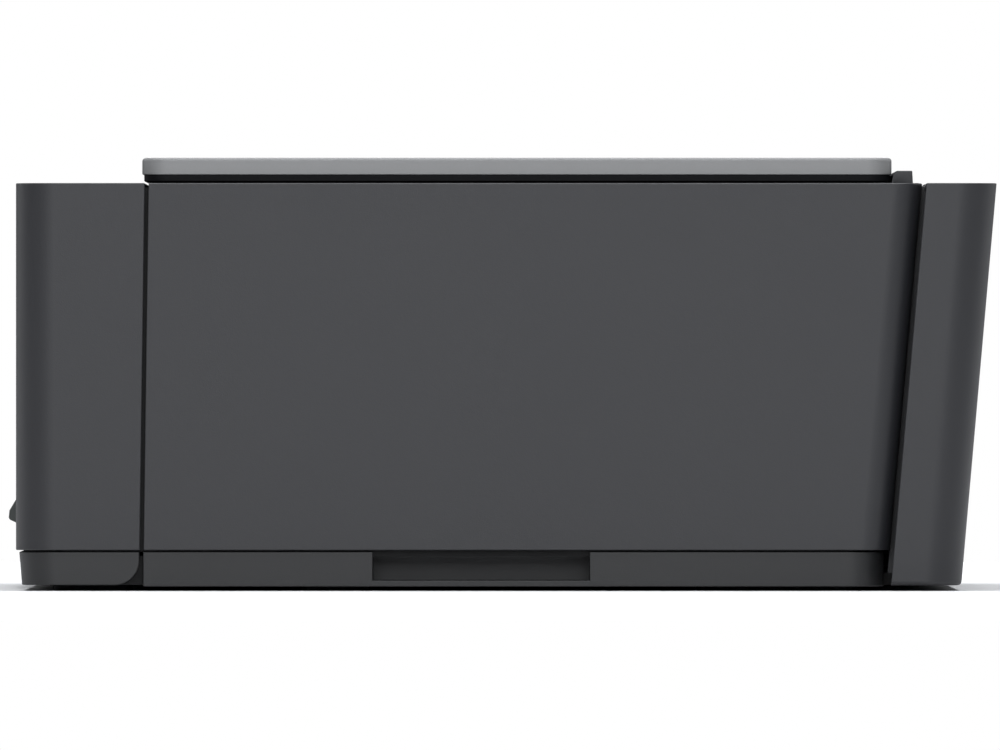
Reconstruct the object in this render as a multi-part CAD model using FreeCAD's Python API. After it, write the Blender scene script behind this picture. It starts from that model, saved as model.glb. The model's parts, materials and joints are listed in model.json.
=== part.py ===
"""Tank-fed inkjet printer with a flatbed scanner on top, as an assembly of separate pieces.

Frame: +Z up, the front faces -Y, the user's right is +X. The origin is the middle of the
bounding box, on the surface that the feet stand on. All sizes are in millimetres.
Each function makes one named piece, and main() writes each to parts/NAME.step.
"""

import FreeCAD
import Part
import math
import os

from FreeCAD import Vector

# ---- overall sizes -------------------------------------------------------------------------
WIDTH = 434.6
DEPTH = 361.5  # from the tip of the tray lip to the top of the rear cover
BODY_TOP = 148.3
LID_RISE = 9.2
LID_TOP = BODY_TOP + LID_RISE
WALL = 2.6
CORNER = 14.0  # upright corners of the body, seen from above
REAR_CORNER = 11.0  # of the side covers, beside the rear seam
REAR_SLOPE = 0.088  # the rear cover leans back this much per millimetre of height
GAP = 1.4  # open seam between two covers
SLIP = 0.3  # clearance of parts that slide past each other
RUN = 0.05  # radial clearance of a shaft in its hole

HALF = WIDTH / 2
LIP_REACH = 4.6  # how far the tray lip stands in front of the body
FRONT = -DEPTH / 2 + LIP_REACH
REAR_TOP = DEPTH / 2
LEAN = math.degrees(math.atan(REAR_SLOPE))

# ---- base, skirt and feet ------------------------------------------------------------------
BASE_BOTTOM = 1.6
BASE_TOP = 14.2
BODY_BOTTOM = 14.8
BASE_INSET = 1.2
SEAM_FRONT = FRONT + 46.7  # seam behind the front cover, halfway up
SEAM_FRONT_SLOPE = 0.0137
REAR_DEPTH = 26.4  # depth of the rear cover, front seam to rear face
GRIP_Y0 = -46.3
GRIP_Y1 = 32.6
GRIP_DEPTH = 16.0
FOOT_SPANS = [
    (FRONT + 13.15, FRONT + 42.15),
    (GRIP_Y0 - 26.5, GRIP_Y0 - 1.0),
    (REAR_TOP - 109.25, REAR_TOP - 49.95),
]
FOOT_WIDTH = 16.0
FOOT_IN = 46.0  # middle of each foot, in from the side
BOSS_IN = 30.0
BOSS_ROWS = (FRONT + 76.15, REAR_TOP - 120.75)
SCREW_R = 1.4
SCREW_HEAD_R = 2.8

# ---- scanner and lid -----------------------------------------------------------------------
SCAN_FLOOR = BODY_TOP - 27.3
LEDGE = 6.0  # top edge of each side cover, beside the scanner
GLASS_X = 308.0
GLASS_Y = 226.0
GLASS_THICK = 3.0
GLASS_LAP = 4.0
GLASS_TOP = BODY_TOP - 0.4
LID_BOTTOM = BODY_TOP + 0.6
LID_SEAM = BODY_TOP + 3.1  # where the dark inner panel meets the pale cover
LID_FRONT = FRONT + 46.0
LID_INSET = 2.8
HINGE_RISE = 1.2  # hinge axis above the body top
HINGE_X = 150.0
HINGE_R = 3.0
BLOCK_DEPTH = 7.5
BLOCK_TOP = BODY_TOP + 4.5

# ---- paper path ----------------------------------------------------------------------------
MEDIA = 216.0
MEDIA_X = -20.0  # middle of the sheet
BAY_X0 = MEDIA_X - MEDIA / 2 - 5
BAY_X1 = MEDIA_X + MEDIA / 2 + 3
BAY_Z0 = 20.0
BAY_Z1 = BODY_TOP - 36.3
DOOR_Z0 = 52.0
DECK_Z = 27.0
PICK_R = 16.0
PICK_Z = 66.0
CHUTE_R = PICK_R + 2.7
CHUTE_T = 2.2
PICK_Y = REAR_TOP - 24.85 - CHUTE_R - CHUTE_T
FEED_Y = PICK_Y - 85.0
FEED_Z = 43.0
FEED_R = 5.5
PINCH_R = 3.0
STAR_R = 4.5
JOURNAL_R = 4.0
PLATEN_Z = 48.0

# ---- gear train: teeth and module ----------------------------------------------------------
MODULE = 0.8
FEED_TEETH = 60
IDLER_TEETH = 30
PINION_TEETH = 12
TRANSFER_TEETH = 48
PICK_TEETH = 50
GEAR_X0 = -HALF + 20.3
GEAR_W = 6.0
PLATE_T = 2.5
OUT_Y = FEED_Y - MODULE * (FEED_TEETH + IDLER_TEETH)

# ---- carriage ------------------------------------------------------------------------------
ROD_Y = FEED_Y + 6.0
ROD_Z = 74.0
ROD_R = 4.0
PARK_X = HALF - 69.3
CARRIAGE_HALF = 42.0
CARRIAGE_Z0 = 51.5
CARRIAGE_Z1 = 97.0
BEAM_Y = ROD_Y + 16.0
BEAM_T = 1.5
BEAM_TOP = BODY_TOP - 36.3
END_X = HALF - 12.8  # inner face of each end plate of the chassis
PULLEY_Z = 95.0
PULLEY_R = 6.4
BELT_T = 1.0
BELT_Y0 = ROD_Y + 7.5
BELT_W = 6.0
DRIVE_X = -HALF + 31.3
MOTOR_BOSS_R = 4.0
IDLE_X = HALF - 25.3

# ---- ink tanks -----------------------------------------------------------------------------
TANK_X0 = BAY_X1 + 4.0
TANK_W = 25.5
TANK_GAP = 2.0
TANK_PITCH = TANK_W + TANK_GAP
TANK_Y0 = FRONT + 3.6
TANK_Y1 = FRONT + 76.0
TANK_Z0 = 20.0
TANK_Z1 = BODY_TOP - 32.3
TANK_WALL = 1.8
NECK_Y = FRONT + 23.0
NECK_R = 6.5
CAP_PIVOT_Y = NECK_Y + 13.5
CAP_PIVOT_Z = TANK_Z1 + 5.5
INKS = ["black", "cyan", "magenta", "yellow"]

TUBE_R = 1.3
TUBE_PITCH = 3.4
TUBE_Z = CARRIAGE_Z1 + 10.5
CLIP_X = MEDIA_X + 15.0
CLIP_HALF = 9.0
CLIP_Y0 = ROD_Y - 10.0
CLIP_Y1 = ROD_Y - 5.0

# ---- control strip -------------------------------------------------------------------------
PANEL_X0 = -HALF + 14.0
PANEL_X1 = BAY_X1 - 20.0
STRIP_Y0 = FRONT + 6.0
STRIP_Y1 = FRONT + 40.4
PANEL_THICK = 2.6
PANEL_SINK = 0.4
BUTTONS = {"power": 16.0, "wireless": 42.0, "cancel": 138.0, "copy_black": 166.0, "copy_colour": 194.0}
BUTTON_R = 6.2
DISPLAY_AT = 90.0
DISPLAY_X = 44.0
DISPLAY_Y = 22.0
TANK_LID_X0 = BAY_X1 + 1.5
TANK_LID_X1 = HALF - 12.3

# ---- rear paper support --------------------------------------------------------------------
FLAP_X0 = MEDIA_X - 125.0
FLAP_X1 = MEDIA_X + 125.0
FLAP_Z0 = 49.0
FLAP_DEEP = 19.0
PIVOT_IN = 4.0  # flap hinge, in from the rear face
PIVOT_Z = 52.0
RACK_MODULE = 0.8
RACK_TEETH = 10
RACK_Z = 76.5
EXTENSION_W = 160.0
EXTENSION_T = 2.5


def box(x0, x1, y0, y1, z0, z1):
    return Part.makeBox(x1 - x0, y1 - y0, z1 - z0, Vector(x0, y0, z0))


def rod_x(x0, x1, y, z, r):
    return Part.makeCylinder(r, x1 - x0, Vector(x0, y, z), Vector(1, 0, 0))


def rod_y(x, y0, y1, z, r):
    return Part.makeCylinder(r, y1 - y0, Vector(x, y0, z), Vector(0, 1, 0))


def post(x, y, z0, z1, r):
    return Part.makeCylinder(r, z1 - z0, Vector(x, y, z0))


def fuse(first, *others):
    shape = first
    for other in others:
        shape = shape.fuse(other)
    return shape.removeSplitter()


def prism(points, x0, x1):
    """A (y, z) outline carried along X."""
    wire = Part.makePolygon([Vector(x0, y, z) for y, z in points + points[:1]])
    return Part.Face(wire).extrude(Vector(x1 - x0, 0, 0))


def edges_along(shape, test):
    return [e for e in shape.Edges if test(e)]


def fillet(shape, r, test):
    return shape.makeFillet(r, edges_along(shape, test)) if r > 0 else shape


def upright(edge):
    """True for an edge that runs mostly up."""
    a, b = edge.Vertexes[0].Point, edge.Vertexes[-1].Point
    return abs(b.z - a.z) > 0.9 * edge.Length


def rounded_box(x0, x1, y0, y1, z0, z1, r):
    return fillet(box(x0, x1, y0, y1, z0, z1), r, upright)


def compound(solids):
    """Several separate solids of one node."""
    return Part.makeCompound([s for shape in solids for s in shape.Solids])


def mirrored(shape):
    return shape.mirror(Vector(0, 0, 0), Vector(1, 0, 0))


def rear_y(z):
    """Y of the outer rear face at height z."""
    return REAR_TOP - REAR_SLOPE * (BODY_TOP - z)


def rear_seam_y(z):
    """Y of the middle of the seam in front of the rear cover."""
    return rear_y(z) - REAR_DEPTH


def front_seam_y(z):
    return SEAM_FRONT + SEAM_FRONT_SLOPE * (z - BODY_TOP / 2)


# ---- covers --------------------------------------------------------------------------------
def body_block(inset, z0, z1):
    """The body between its front face and the rear seam, drawn in by inset."""
    y_low = rear_seam_y(z0) - GAP / 2 - inset
    y_high = rear_seam_y(z1) - GAP / 2 - inset
    front = FRONT + inset
    block = prism([(front, z0), (front, z1), (y_high, z1), (y_low, z0)], -HALF + inset, HALF - inset)
    block = fillet(block, CORNER - inset, lambda e: upright(e) and e.CenterOfMass.y < 0)
    return fillet(block, REAR_CORNER - inset, lambda e: upright(e) and e.CenterOfMass.y > 0)


def body_shell():
    return body_block(0, BODY_BOTTOM, BODY_TOP).cut(body_block(WALL, BODY_BOTTOM - 5, BODY_TOP - WALL))


def behind_front_seam(shift):
    """The space behind the front seam, its plane moved by shift."""
    low, high = BASE_BOTTOM - 5, BODY_TOP + 5
    rim = [(front_seam_y(low) + shift, low), (front_seam_y(high) + shift, high)]
    return prism(rim + [(REAR_TOP + 50, high), (REAR_TOP + 50, low)], -WIDTH, WIDTH)


def ledge_ring(x0, x1, y0, y1, top, thick, lap):
    """A seat under an opening of the top wall: a frame that stands lap inside the opening."""
    ring = box(x0 - 2, x1 + 2, y0 - 2, y1 + 2, top - thick, BODY_TOP - WALL + 0.1)
    ring = ring.cut(box(x0 + lap, x1 - lap, y0 + lap, y1 - lap, top - thick - 1, BODY_TOP))
    return ring.cut(box(x0 - SLIP, x1 + SLIP, y0 - SLIP, y1 + SLIP, top, BODY_TOP))


def front_bezel():
    shell = body_shell().cut(behind_front_seam(-GAP / 2))
    inner_y = front_seam_y(BODY_BOTTOM) - GAP / 2 - 2
    walls = [
        box(BAY_X0 - 2.2, BAY_X0, FRONT + 1, inner_y, BODY_BOTTOM, BAY_Z1 + 2),
        box(BAY_X1, BAY_X1 + 2.2, FRONT + 1, inner_y, BODY_BOTTOM, BAY_Z1 + 2),
        box(BAY_X0 - 2.2, BAY_X1 + 2.2, FRONT + 1, inner_y, BAY_Z1, BAY_Z1 + 2),
    ]
    panel_top = BODY_TOP - PANEL_SINK - PANEL_THICK
    lap = 3.0
    seat = ledge_ring(PANEL_X0, PANEL_X1, STRIP_Y0, STRIP_Y1, panel_top, 2.2, lap)
    bezel = fuse(shell, *walls, seat)
    corner = 5.0
    mouth = box(BAY_X0, BAY_X1, FRONT - 1, inner_y + 9, BAY_Z0, BAY_Z1)
    panel_hole = rounded_box(
        PANEL_X0 - SLIP,
        PANEL_X1 + SLIP,
        STRIP_Y0 - SLIP,
        STRIP_Y1 + SLIP,
        panel_top,
        BODY_TOP + 1,
        corner + SLIP,
    )
    last_tank = TANK_X0 + 3 * TANK_PITCH + TANK_W
    window = box(TANK_X0 + 1, last_tank - 1, FRONT - 1, FRONT + 3.4, TANK_Z0 + 11, TANK_Z1 - 13)
    window = fillet(window, 2.0, lambda e: abs(e.tangentAt(e.FirstParameter).y) > 0.9)
    lid_hole = box(
        TANK_LID_X0 - 0.5, TANK_LID_X1 + 0.5, STRIP_Y0 - 0.6, STRIP_Y1 + 1.5, BODY_TOP - WALL - 1, BODY_TOP + 1
    )
    well = box(PANEL_X0 + lap, PANEL_X1 - lap, STRIP_Y0 + lap, STRIP_Y1 - lap, panel_top - lap, BODY_TOP)
    bezel = bezel.cut(mouth).cut(panel_hole).cut(well).cut(window).cut(lid_hole)
    door_pin = rod_x(BAY_X0 - 3, BAY_X1 + 3, DOOR_AXIS_Y, DOOR_AXIS_Z, 1.5 + RUN)
    lid_pin = rod_x(TANK_LID_X0 - 3.2, TANK_LID_X1 + 3.2, TANK_LID_AXIS_Y, TANK_LID_AXIS_Z, 1.0 + RUN)
    return bezel.cut(door_pin).cut(lid_pin)


def side_cover():
    """The right-hand side cover: an upright wall, a narrow top ledge and a rounded rear corner."""
    shell = body_shell().common(behind_front_seam(GAP / 2))
    side = shell.common(box(HALF - CORNER - 2, HALF + 1, -DEPTH, DEPTH, 0, BODY_TOP + 1))
    under_scanner = box(0, HALF - LEDGE, -DEPTH, rear_seam_y(BODY_TOP) - 3, BODY_TOP - WALL - 1, BODY_TOP + 1)
    side = side.cut(under_scanner)
    ribs = []
    for y in (FRONT + 81.15, -10.0, REAR_TOP - 105.75):
        ribs.append(box(HALF - WALL - 3.5, HALF - WALL + 0.2, y - 1, y + 1, BODY_BOTTOM + 2, SCAN_FLOOR - 3))
    ribs += front_tongue(HALF - WALL, BODY_BOTTOM + 1.2, BODY_TOP - WALL - SLIP, 4.0)
    return fillet(fuse(side, *ribs), 0.7, top_outer_edge)


def front_tongue(wall_x, z0, z1, reach):
    """A tongue that runs forward across the front seam, just inside the piece in front."""
    y = front_seam_y(z0)
    tongue = box(wall_x - SLIP - 2, wall_x - SLIP, y - reach, y + 7, z0, z1)
    return [tongue, box(wall_x - SLIP - 1, wall_x + 0.5, y + 2.5, y + 7, z0, z1)]


def top_outer_edge(edge):
    """The long straight outer edge along the top of a side cover."""
    a, b = edge.Vertexes[0].Point, edge.Vertexes[-1].Point
    level = abs(a.z - BODY_TOP) < 0.01 and abs(b.z - BODY_TOP) < 0.01
    return level and abs(a.x - HALF) < 0.01 and abs(b.x - HALF) < 0.01


def base_block(inset, z0, z1):
    front = front_seam_y(BASE_BOTTOM) + GAP / 2 + inset
    rear = rear_seam_y(BASE_BOTTOM) - GAP / 2 - BASE_INSET - inset
    side = HALF - BASE_INSET - inset
    block = box(-side, side, front, rear, z0, z1)
    return fillet(block, CORNER - BASE_INSET - inset, lambda e: upright(e) and e.CenterOfMass.y > 0)


def base_pan():
    pan = base_block(0, BASE_BOTTOM, BASE_TOP).cut(base_block(WALL, BASE_BOTTOM + WALL, BASE_TOP + 1))
    tongue_y1 = rear_seam_y(BASE_BOTTOM) + 15
    tongue_z = BASE_BOTTOM + WALL + 0.7
    tongue = box(-HALF + 60, HALF - 60, REAR_TOP - 60.75, tongue_y1, tongue_z, tongue_z + 2.2)
    nose = box(
        -HALF + 22, HALF - 22, FRONT + 12, front_seam_y(BASE_BOTTOM) + 6, BASE_BOTTOM + 0.2, BASE_BOTTOM + 2.8
    )
    pan = fuse(pan, nose, tongue)
    for side in (-1, 1):
        wall_x = side * (HALF - BASE_INSET)
        pocket_x = side * (HALF - BASE_INSET - GRIP_DEPTH)
        rim_x = side * (HALF - BASE_INSET - GRIP_DEPTH - WALL)
        low, high = sorted((rim_x, wall_x))
        rim = box(low, high, GRIP_Y0 - WALL, GRIP_Y1 + WALL, BASE_BOTTOM, BASE_TOP)
        low, high = sorted((pocket_x, wall_x + side))
        hollow = box(low, high, GRIP_Y0, GRIP_Y1, BASE_BOTTOM + 2.2, BASE_TOP + 1)
        pan = fuse(pan, rim).cut(hollow)
    lips = front_tongue(HALF - BASE_INSET - WALL, BASE_BOTTOM + 0.6, BASE_TOP - 0.4, 13.0)
    lips += [mirrored(lip) for lip in lips]
    bosses = [post(x, y, BASE_BOTTOM + 1, BASE_TOP, 4) for x, y in BOSSES]
    pan = fuse(pan, *lips, *bosses)
    for x, y in BOSSES:
        pan = pan.cut(post(x, y, BASE_BOTTOM - 1, BASE_BOTTOM + 2.5, SCREW_HEAD_R + 0.4))
        pan = pan.cut(post(x, y, BASE_BOTTOM, BASE_TOP - 2, SCREW_R))
    for x0, x1, y0, y1 in foot_spots():
        pan = pan.cut(box(x0, x1, y0, y1, BASE_BOTTOM - 1, BASE_BOTTOM + 0.8))
    return pan


BOSSES = [(side * (HALF - BOSS_IN), y) for side in (-1, 1) for y in BOSS_ROWS]


def foot_spots():
    spots = []
    for y0, y1 in FOOT_SPANS:
        for side in (-1, 1):
            middle = side * (HALF - FOOT_IN)
            spots.append((middle - FOOT_WIDTH / 2, middle + FOOT_WIDTH / 2, y0, y1))
    return spots


def rubber_feet():
    feet = []
    for x0, x1, y0, y1 in foot_spots():
        feet.append(rounded_box(x0 + 0.1, x1 - 0.1, y0 + 0.1, y1 - 0.1, 0, BASE_BOTTOM + 0.8, 3.0))
    return compound(feet)


def case_screws():
    """Pan-head screws that hold the base, up inside their counterbores."""
    screws = []
    for x, y in BOSSES:
        head = post(x, y, BASE_BOTTOM + 0.6, BASE_BOTTOM + 2.5, SCREW_HEAD_R)
        shank = post(x, y, BASE_BOTTOM + 2.4, BASE_TOP - 3, SCREW_R)
        slot = box(x - 2.0, x + 2.0, y - 0.35, y + 0.35, BASE_BOTTOM, BASE_BOTTOM + 1.5)
        cross = box(x - 0.35, x + 0.35, y - 2.0, y + 2.0, BASE_BOTTOM, BASE_BOTTOM + 1.5)
        screws.append(fuse(head, shank).cut(slot).cut(cross))
    return compound(screws)


def front_skirt():
    """The lower front trim, with a rounded lower corner at each side."""
    top, bottom = BASE_TOP, BASE_BOTTOM + 0.5
    front = FRONT + BASE_INSET
    rear = front_seam_y(BASE_BOTTOM) - GAP / 2
    side = HALF - BASE_INSET
    taper = 1.0
    outline = [(front, top), (rear, top), (rear, bottom), (front + taper, bottom)]

    def front_corner(edge):
        return upright(edge) and edge.CenterOfMass.y < front + CORNER

    block = fillet(prism(outline, -side, side), CORNER - BASE_INSET, front_corner)
    hollow = box(-side + WALL, side - WALL, front + WALL + taper, rear + 1, bottom - 1, top + 1)
    block = block.cut(fillet(hollow, CORNER - BASE_INSET - WALL, front_corner))

    def lower_rear(edge):
        a, b = edge.Vertexes[0].Point, edge.Vertexes[-1].Point
        return all(abs(p.z - bottom) < 0.01 and abs(p.y - rear) < 0.01 for p in (a, b))

    return fillet(block, 9.0, lower_rear)


def rear_block(inset, front_cut):
    """The leaning rear cover as one block, drawn in by inset, its front moved by front_cut."""
    low, high = BASE_BOTTOM + 0.4 + inset, BODY_TOP - inset
    rear = [(rear_y(low) - inset, low), (rear_y(high) - inset, high)]
    front = [(rear_seam_y(high) + front_cut, high), (rear_seam_y(low) + front_cut, low)]
    block = prism(rear + front, -HALF + inset, HALF - inset)
    behind = rear_y(BODY_TOP / 2) - CORNER / 2
    return fillet(block, CORNER - inset, lambda e: upright(e) and e.CenterOfMass.y > behind)


def leaned(shape):
    """Turns a shape built upright so that its rear face lies in the leaning rear face."""
    copy = shape.copy()
    copy.rotate(Vector(0, rear_y(PIVOT_Z), PIVOT_Z), Vector(1, 0, 0), -LEAN)
    return copy


def rear_cover():
    cover = rear_block(0, GAP / 2).cut(rear_block(WALL, -30))
    face = rear_y(PIVOT_Z)
    cheeks = []
    for x0 in (FLAP_X0 - 4.0, FLAP_X1 + 0.8):
        cheek = leaned(box(x0, x0 + 3.2, face - FLAP_DEEP - 6, face - 1, FLAP_Z0 - 8, BODY_TOP + 10))
        cheeks.append(cheek.common(rear_block(0.5, GAP / 2)))
    cover = fuse(cover, *cheeks, seam_baffle(), mirrored(seam_baffle()))
    slot = leaned(box(FLAP_X0 - 0.8, FLAP_X1 + 0.8, face - 60, face + 10, FLAP_Z0 - 2.6, BODY_TOP + 30))
    cover = cover.cut(slot)
    pivot = leaned(rod_x(FLAP_X0 - 5, FLAP_X1 + 5, face - PIVOT_IN, PIVOT_Z, 2.0 + RUN))
    cover = cover.cut(pivot)
    cover = cover.cut(box(INLET_X0 - 0.6, INLET_X1 + 0.6, SOCKET_CUT_Y, DEPTH, INLET_Z0 - 0.6, INLET_Z1 + 0.6))
    cover = cover.cut(box(USB_X0 - 0.6, USB_X1 + 0.6, SOCKET_CUT_Y, DEPTH, USB_Z0 - 0.6, USB_Z1 + 0.6))

    def rear_bottom(edge):
        a, b = edge.Vertexes[0].Point, edge.Vertexes[-1].Point
        low = abs(a.z - BASE_BOTTOM - 0.4) < 0.01 and abs(b.z - a.z) < 0.01
        return low and min(a.y, b.y) > rear_y(0) - CORNER - 0.5

    return fillet(cover, 1.6, rear_bottom)


def seam_baffle():
    """A fore-and-aft wall inside the rear cover that closes the seam from the inside."""
    low, step, high = BASE_BOTTOM + 1.2, BODY_BOTTOM + 1.2, BODY_TOP - 1
    outline = [
        (rear_seam_y(low) - 1.0, low),
        (rear_y(low) - 1, low),
        (rear_y(high) - 1, high),
        (rear_seam_y(high) - 3, high),
        (rear_seam_y(step) - 3, step),
        (rear_seam_y(step) - 1.0, step),
    ]
    x1 = HALF - CORNER - 2.8
    return prism(outline, x1 - 2, x1)


# ---- scanner and lid -----------------------------------------------------------------------
SCAN_X = HALF - LEDGE - SLIP
SCAN_Y0 = SEAM_FRONT + 4.0
SCAN_Y1 = rear_seam_y(SCAN_FLOOR) - GAP / 2 - WALL - 0.4
FRAME_THICK = 4.8
BLOCK_Y1 = rear_seam_y(BODY_TOP) - GAP / 2 - WALL - 0.8
BLOCK_Y0 = BLOCK_Y1 - BLOCK_DEPTH
HINGE_Y = BLOCK_Y0 + 3.4
HINGE_Z = BODY_TOP + HINGE_RISE
LID_REAR = BLOCK_Y0 - 0.3
SCAN_TRAVEL_X0 = -SCAN_X + 30
HEAD_Z1 = BODY_TOP - FRAME_THICK - 0.5


def scanner_base():
    tub = rounded_box(-SCAN_X, SCAN_X, SCAN_Y0, SCAN_Y1, SCAN_FLOOR, BODY_TOP, CORNER - WALL - 3)
    inside_top = BODY_TOP - FRAME_THICK
    glass_x, glass_y = GLASS_X / 2, GLASS_Y / 2
    tub = tub.cut(box(-SCAN_X + 2.2, SCAN_X - 2.2, SCAN_Y0 + 2.2, SCAN_Y1 - 2.2, SCAN_FLOOR + 2, inside_top))
    seat = box(-glass_x, glass_x, -glass_y, glass_y, GLASS_TOP - GLASS_THICK, BODY_TOP + 1)
    view_x, view_y = glass_x - GLASS_LAP, glass_y - GLASS_LAP
    view = box(-view_x, view_x, -view_y, view_y, SCAN_FLOOR + 10, BODY_TOP)
    block_x = SCAN_X - 0.6
    chamfer = 1.5
    outline = [
        (BLOCK_Y0, BODY_TOP - 1),
        (BLOCK_Y0, BLOCK_TOP - chamfer),
        (BLOCK_Y0 + chamfer, BLOCK_TOP),
        (BLOCK_Y1 - 0.3, BLOCK_TOP),
        (BLOCK_Y1, BODY_TOP - 1),
    ]
    base = fuse(tub, prism(outline, -block_x, block_x)).cut(seat).cut(view)
    for x in (-HINGE_X, HINGE_X):
        base = base.cut(box(x - 14, x + 14, BLOCK_Y0 - 0.6, BLOCK_Y1 + 1, HINGE_Z - 3.7, BLOCK_TOP + 1))
        base = base.cut(rod_x(x - 17.5, x + 17.5, HINGE_Y, HINGE_Z, 1.5 + RUN))
    seat_x = SCAN_X - 6
    rail_seats = [box(x - 4, x + 4, -6, 6, SCAN_FLOOR + 1, SCAN_FLOOR + 11) for x in (-seat_x, seat_x)]
    rack_rib = box(-SCAN_X + 12, SCAN_X - 12, 24, 27, SCAN_FLOOR + 1, SCAN_FLOOR + 5)
    base = fuse(base, rack_rib, *rail_seats)
    return base.cut(rod_x(-SCAN_X + 3, SCAN_X - 3, 0, SCAN_RAIL_Z, 3.0))


SCAN_RAIL_Z = SCAN_FLOOR + 6.5


def scanner_glass():
    inset = 0.15
    half_x, half_y = GLASS_X / 2 - inset, GLASS_Y / 2 - inset
    return box(-half_x, half_x, -half_y, half_y, GLASS_TOP - GLASS_THICK, GLASS_TOP)


def scan_rail():
    return rod_x(-SCAN_X + 3, SCAN_X - 3, 0, SCAN_RAIL_Z, 3.0)


def scan_head():
    """The contact image sensor, its slider on the rail and its drive motor."""
    x = SCAN_TRAVEL_X0
    length = GLASS_Y / 2 - 4
    bar = rounded_box(x - 8, x + 8, -length, length, SCAN_FLOOR + 11, HEAD_Z1, 2.0)
    bar = bar.cut(box(x - 3, x + 3, -length + 6, length - 6, HEAD_Z1 - 1.5, HEAD_Z1 + 1))
    slider = box(x - 9, x + 9, -7, 7, SCAN_FLOOR + 2.8, SCAN_FLOOR + 11.5)
    slider = slider.cut(rod_x(x - 20, x + 20, 0, SCAN_RAIL_Z, 3.0 + RUN))
    foot = box(x - 7, x + 7, length - 14, length - 6, SCAN_FLOOR + 2.4, SCAN_FLOOR + 11.5)
    motor = post(x, 42, SCAN_FLOOR + 2.6, SCAN_FLOOR + 11, 7.0)
    rod_glass = box(x - 2.8, x + 2.8, -length + 6.2, length - 6.2, HEAD_Z1 - 1.5, HEAD_Z1 - 0.2)
    return compound([fuse(bar, slider, foot), motor, rod_glass])


def lid_block(inset, z0, z1, r):
    half = HALF - LID_INSET - inset
    return rounded_box(-half, half, LID_FRONT + inset, LID_REAR - inset, z0, z1, r)


def lid_cover():
    solid = lid_block(0, LID_SEAM, LID_TOP, 9.0)
    solid = fillet(solid, 1.3, lambda e: all(abs(v.Point.z - LID_TOP) < 0.01 for v in e.Vertexes))
    return solid.cut(lid_block(2.2, LID_SEAM - 1, LID_TOP - 2.2, 7.0))


def lid_inner_panel():
    panel = lid_block(0.7, LID_BOTTOM, LID_SEAM, 8.3)
    ring_x, ring_y = GLASS_X / 2 + 6, GLASS_Y / 2 + 4
    panel = panel.cut(box(-ring_x, ring_x, -ring_y, ring_y, LID_BOTTOM - 1, LID_BOTTOM + 1.6))
    arms = []
    for x in (-HINGE_X, HINGE_X):
        barrel = rod_x(x - 12, x + 12, HINGE_Y, HINGE_Z, HINGE_R)
        pin = rod_x(x - 17, x + 17, HINGE_Y, HINGE_Z, 1.5)
        link = box(x - 12, x + 12, LID_REAR - 2.5, HINGE_Y, HINGE_Z - 0.3, LID_SEAM)
        arms += [barrel, pin, link]
    return fuse(panel, *arms)


def lid_pad():
    pad_x, pad_y = GLASS_X / 2 + 5.6, GLASS_Y / 2 + 3.6
    return rounded_box(-pad_x, pad_x, -pad_y, pad_y, BODY_TOP + 0.3, LID_BOTTOM + 1.5, 3.0)


# ---- gears ---------------------------------------------------------------------------------
def involute(base_r, r):
    """Angle of the involute of base_r at radius r."""
    c = min(1.0, base_r / r)
    a = math.acos(c)
    return math.tan(a) - a


def gear_outline(module, teeth, phase, backlash=0.12):
    """Points (u, v) of a spur gear; a tooth's middle lies at the angle phase."""
    pitch_r = module * teeth / 2
    base_r = pitch_r * math.cos(math.radians(20))
    root_r, tip_r = pitch_r - 1.25 * module, pitch_r + 0.95 * module
    half = math.pi / teeth / 2 - backlash * module / 2 / pitch_r + involute(base_r, pitch_r)
    start = max(root_r, base_r)
    radii = [start + (tip_r - start) * k / 3 for k in range(4)]
    flank = [(r, half - involute(base_r, r)) for r in radii]
    if root_r < start:
        flank = [(root_r, half)] + flank
    points = []
    for k in range(teeth):
        middle = phase + 2 * math.pi * k / teeth
        points += [(r, middle - a) for r, a in flank]
        points += [(r, middle + a) for r, a in reversed(flank)]
    return [(r * math.cos(a), r * math.sin(a)) for r, a in points]


def gear_x(module, teeth, phase, x0, x1, y, z, bore):
    """A spur gear that turns about X, with a twelve-sided bore that takes a round shaft of radius bore."""
    outline = gear_outline(module, teeth, phase)
    solid = prism([(y + u, z + v) for u, v in outline], x0, x1)
    if bore > 0:
        corner = bore / math.cos(math.pi / 12)
        angles = [k * math.pi / 6 for k in range(12)]
        ring = [(y + corner * math.cos(a), z + corner * math.sin(a)) for a in angles]
        solid = solid.cut(prism(ring, x0 - 1, x1 + 1))
    return solid


def meshed_phase(teeth_a, phase_a, teeth_b, direction):
    """Phase of gear b, which lies in that direction from gear a, so that their teeth interlock."""
    step_a, step_b = 2 * math.pi / teeth_a, 2 * math.pi / teeth_b
    share = ((direction - phase_a) / step_a) % 1.0
    return direction + math.pi - step_b * (0.5 - share)


def gear_gap(teeth_a, teeth_b):
    return MODULE * (teeth_a + teeth_b) / 2


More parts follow.
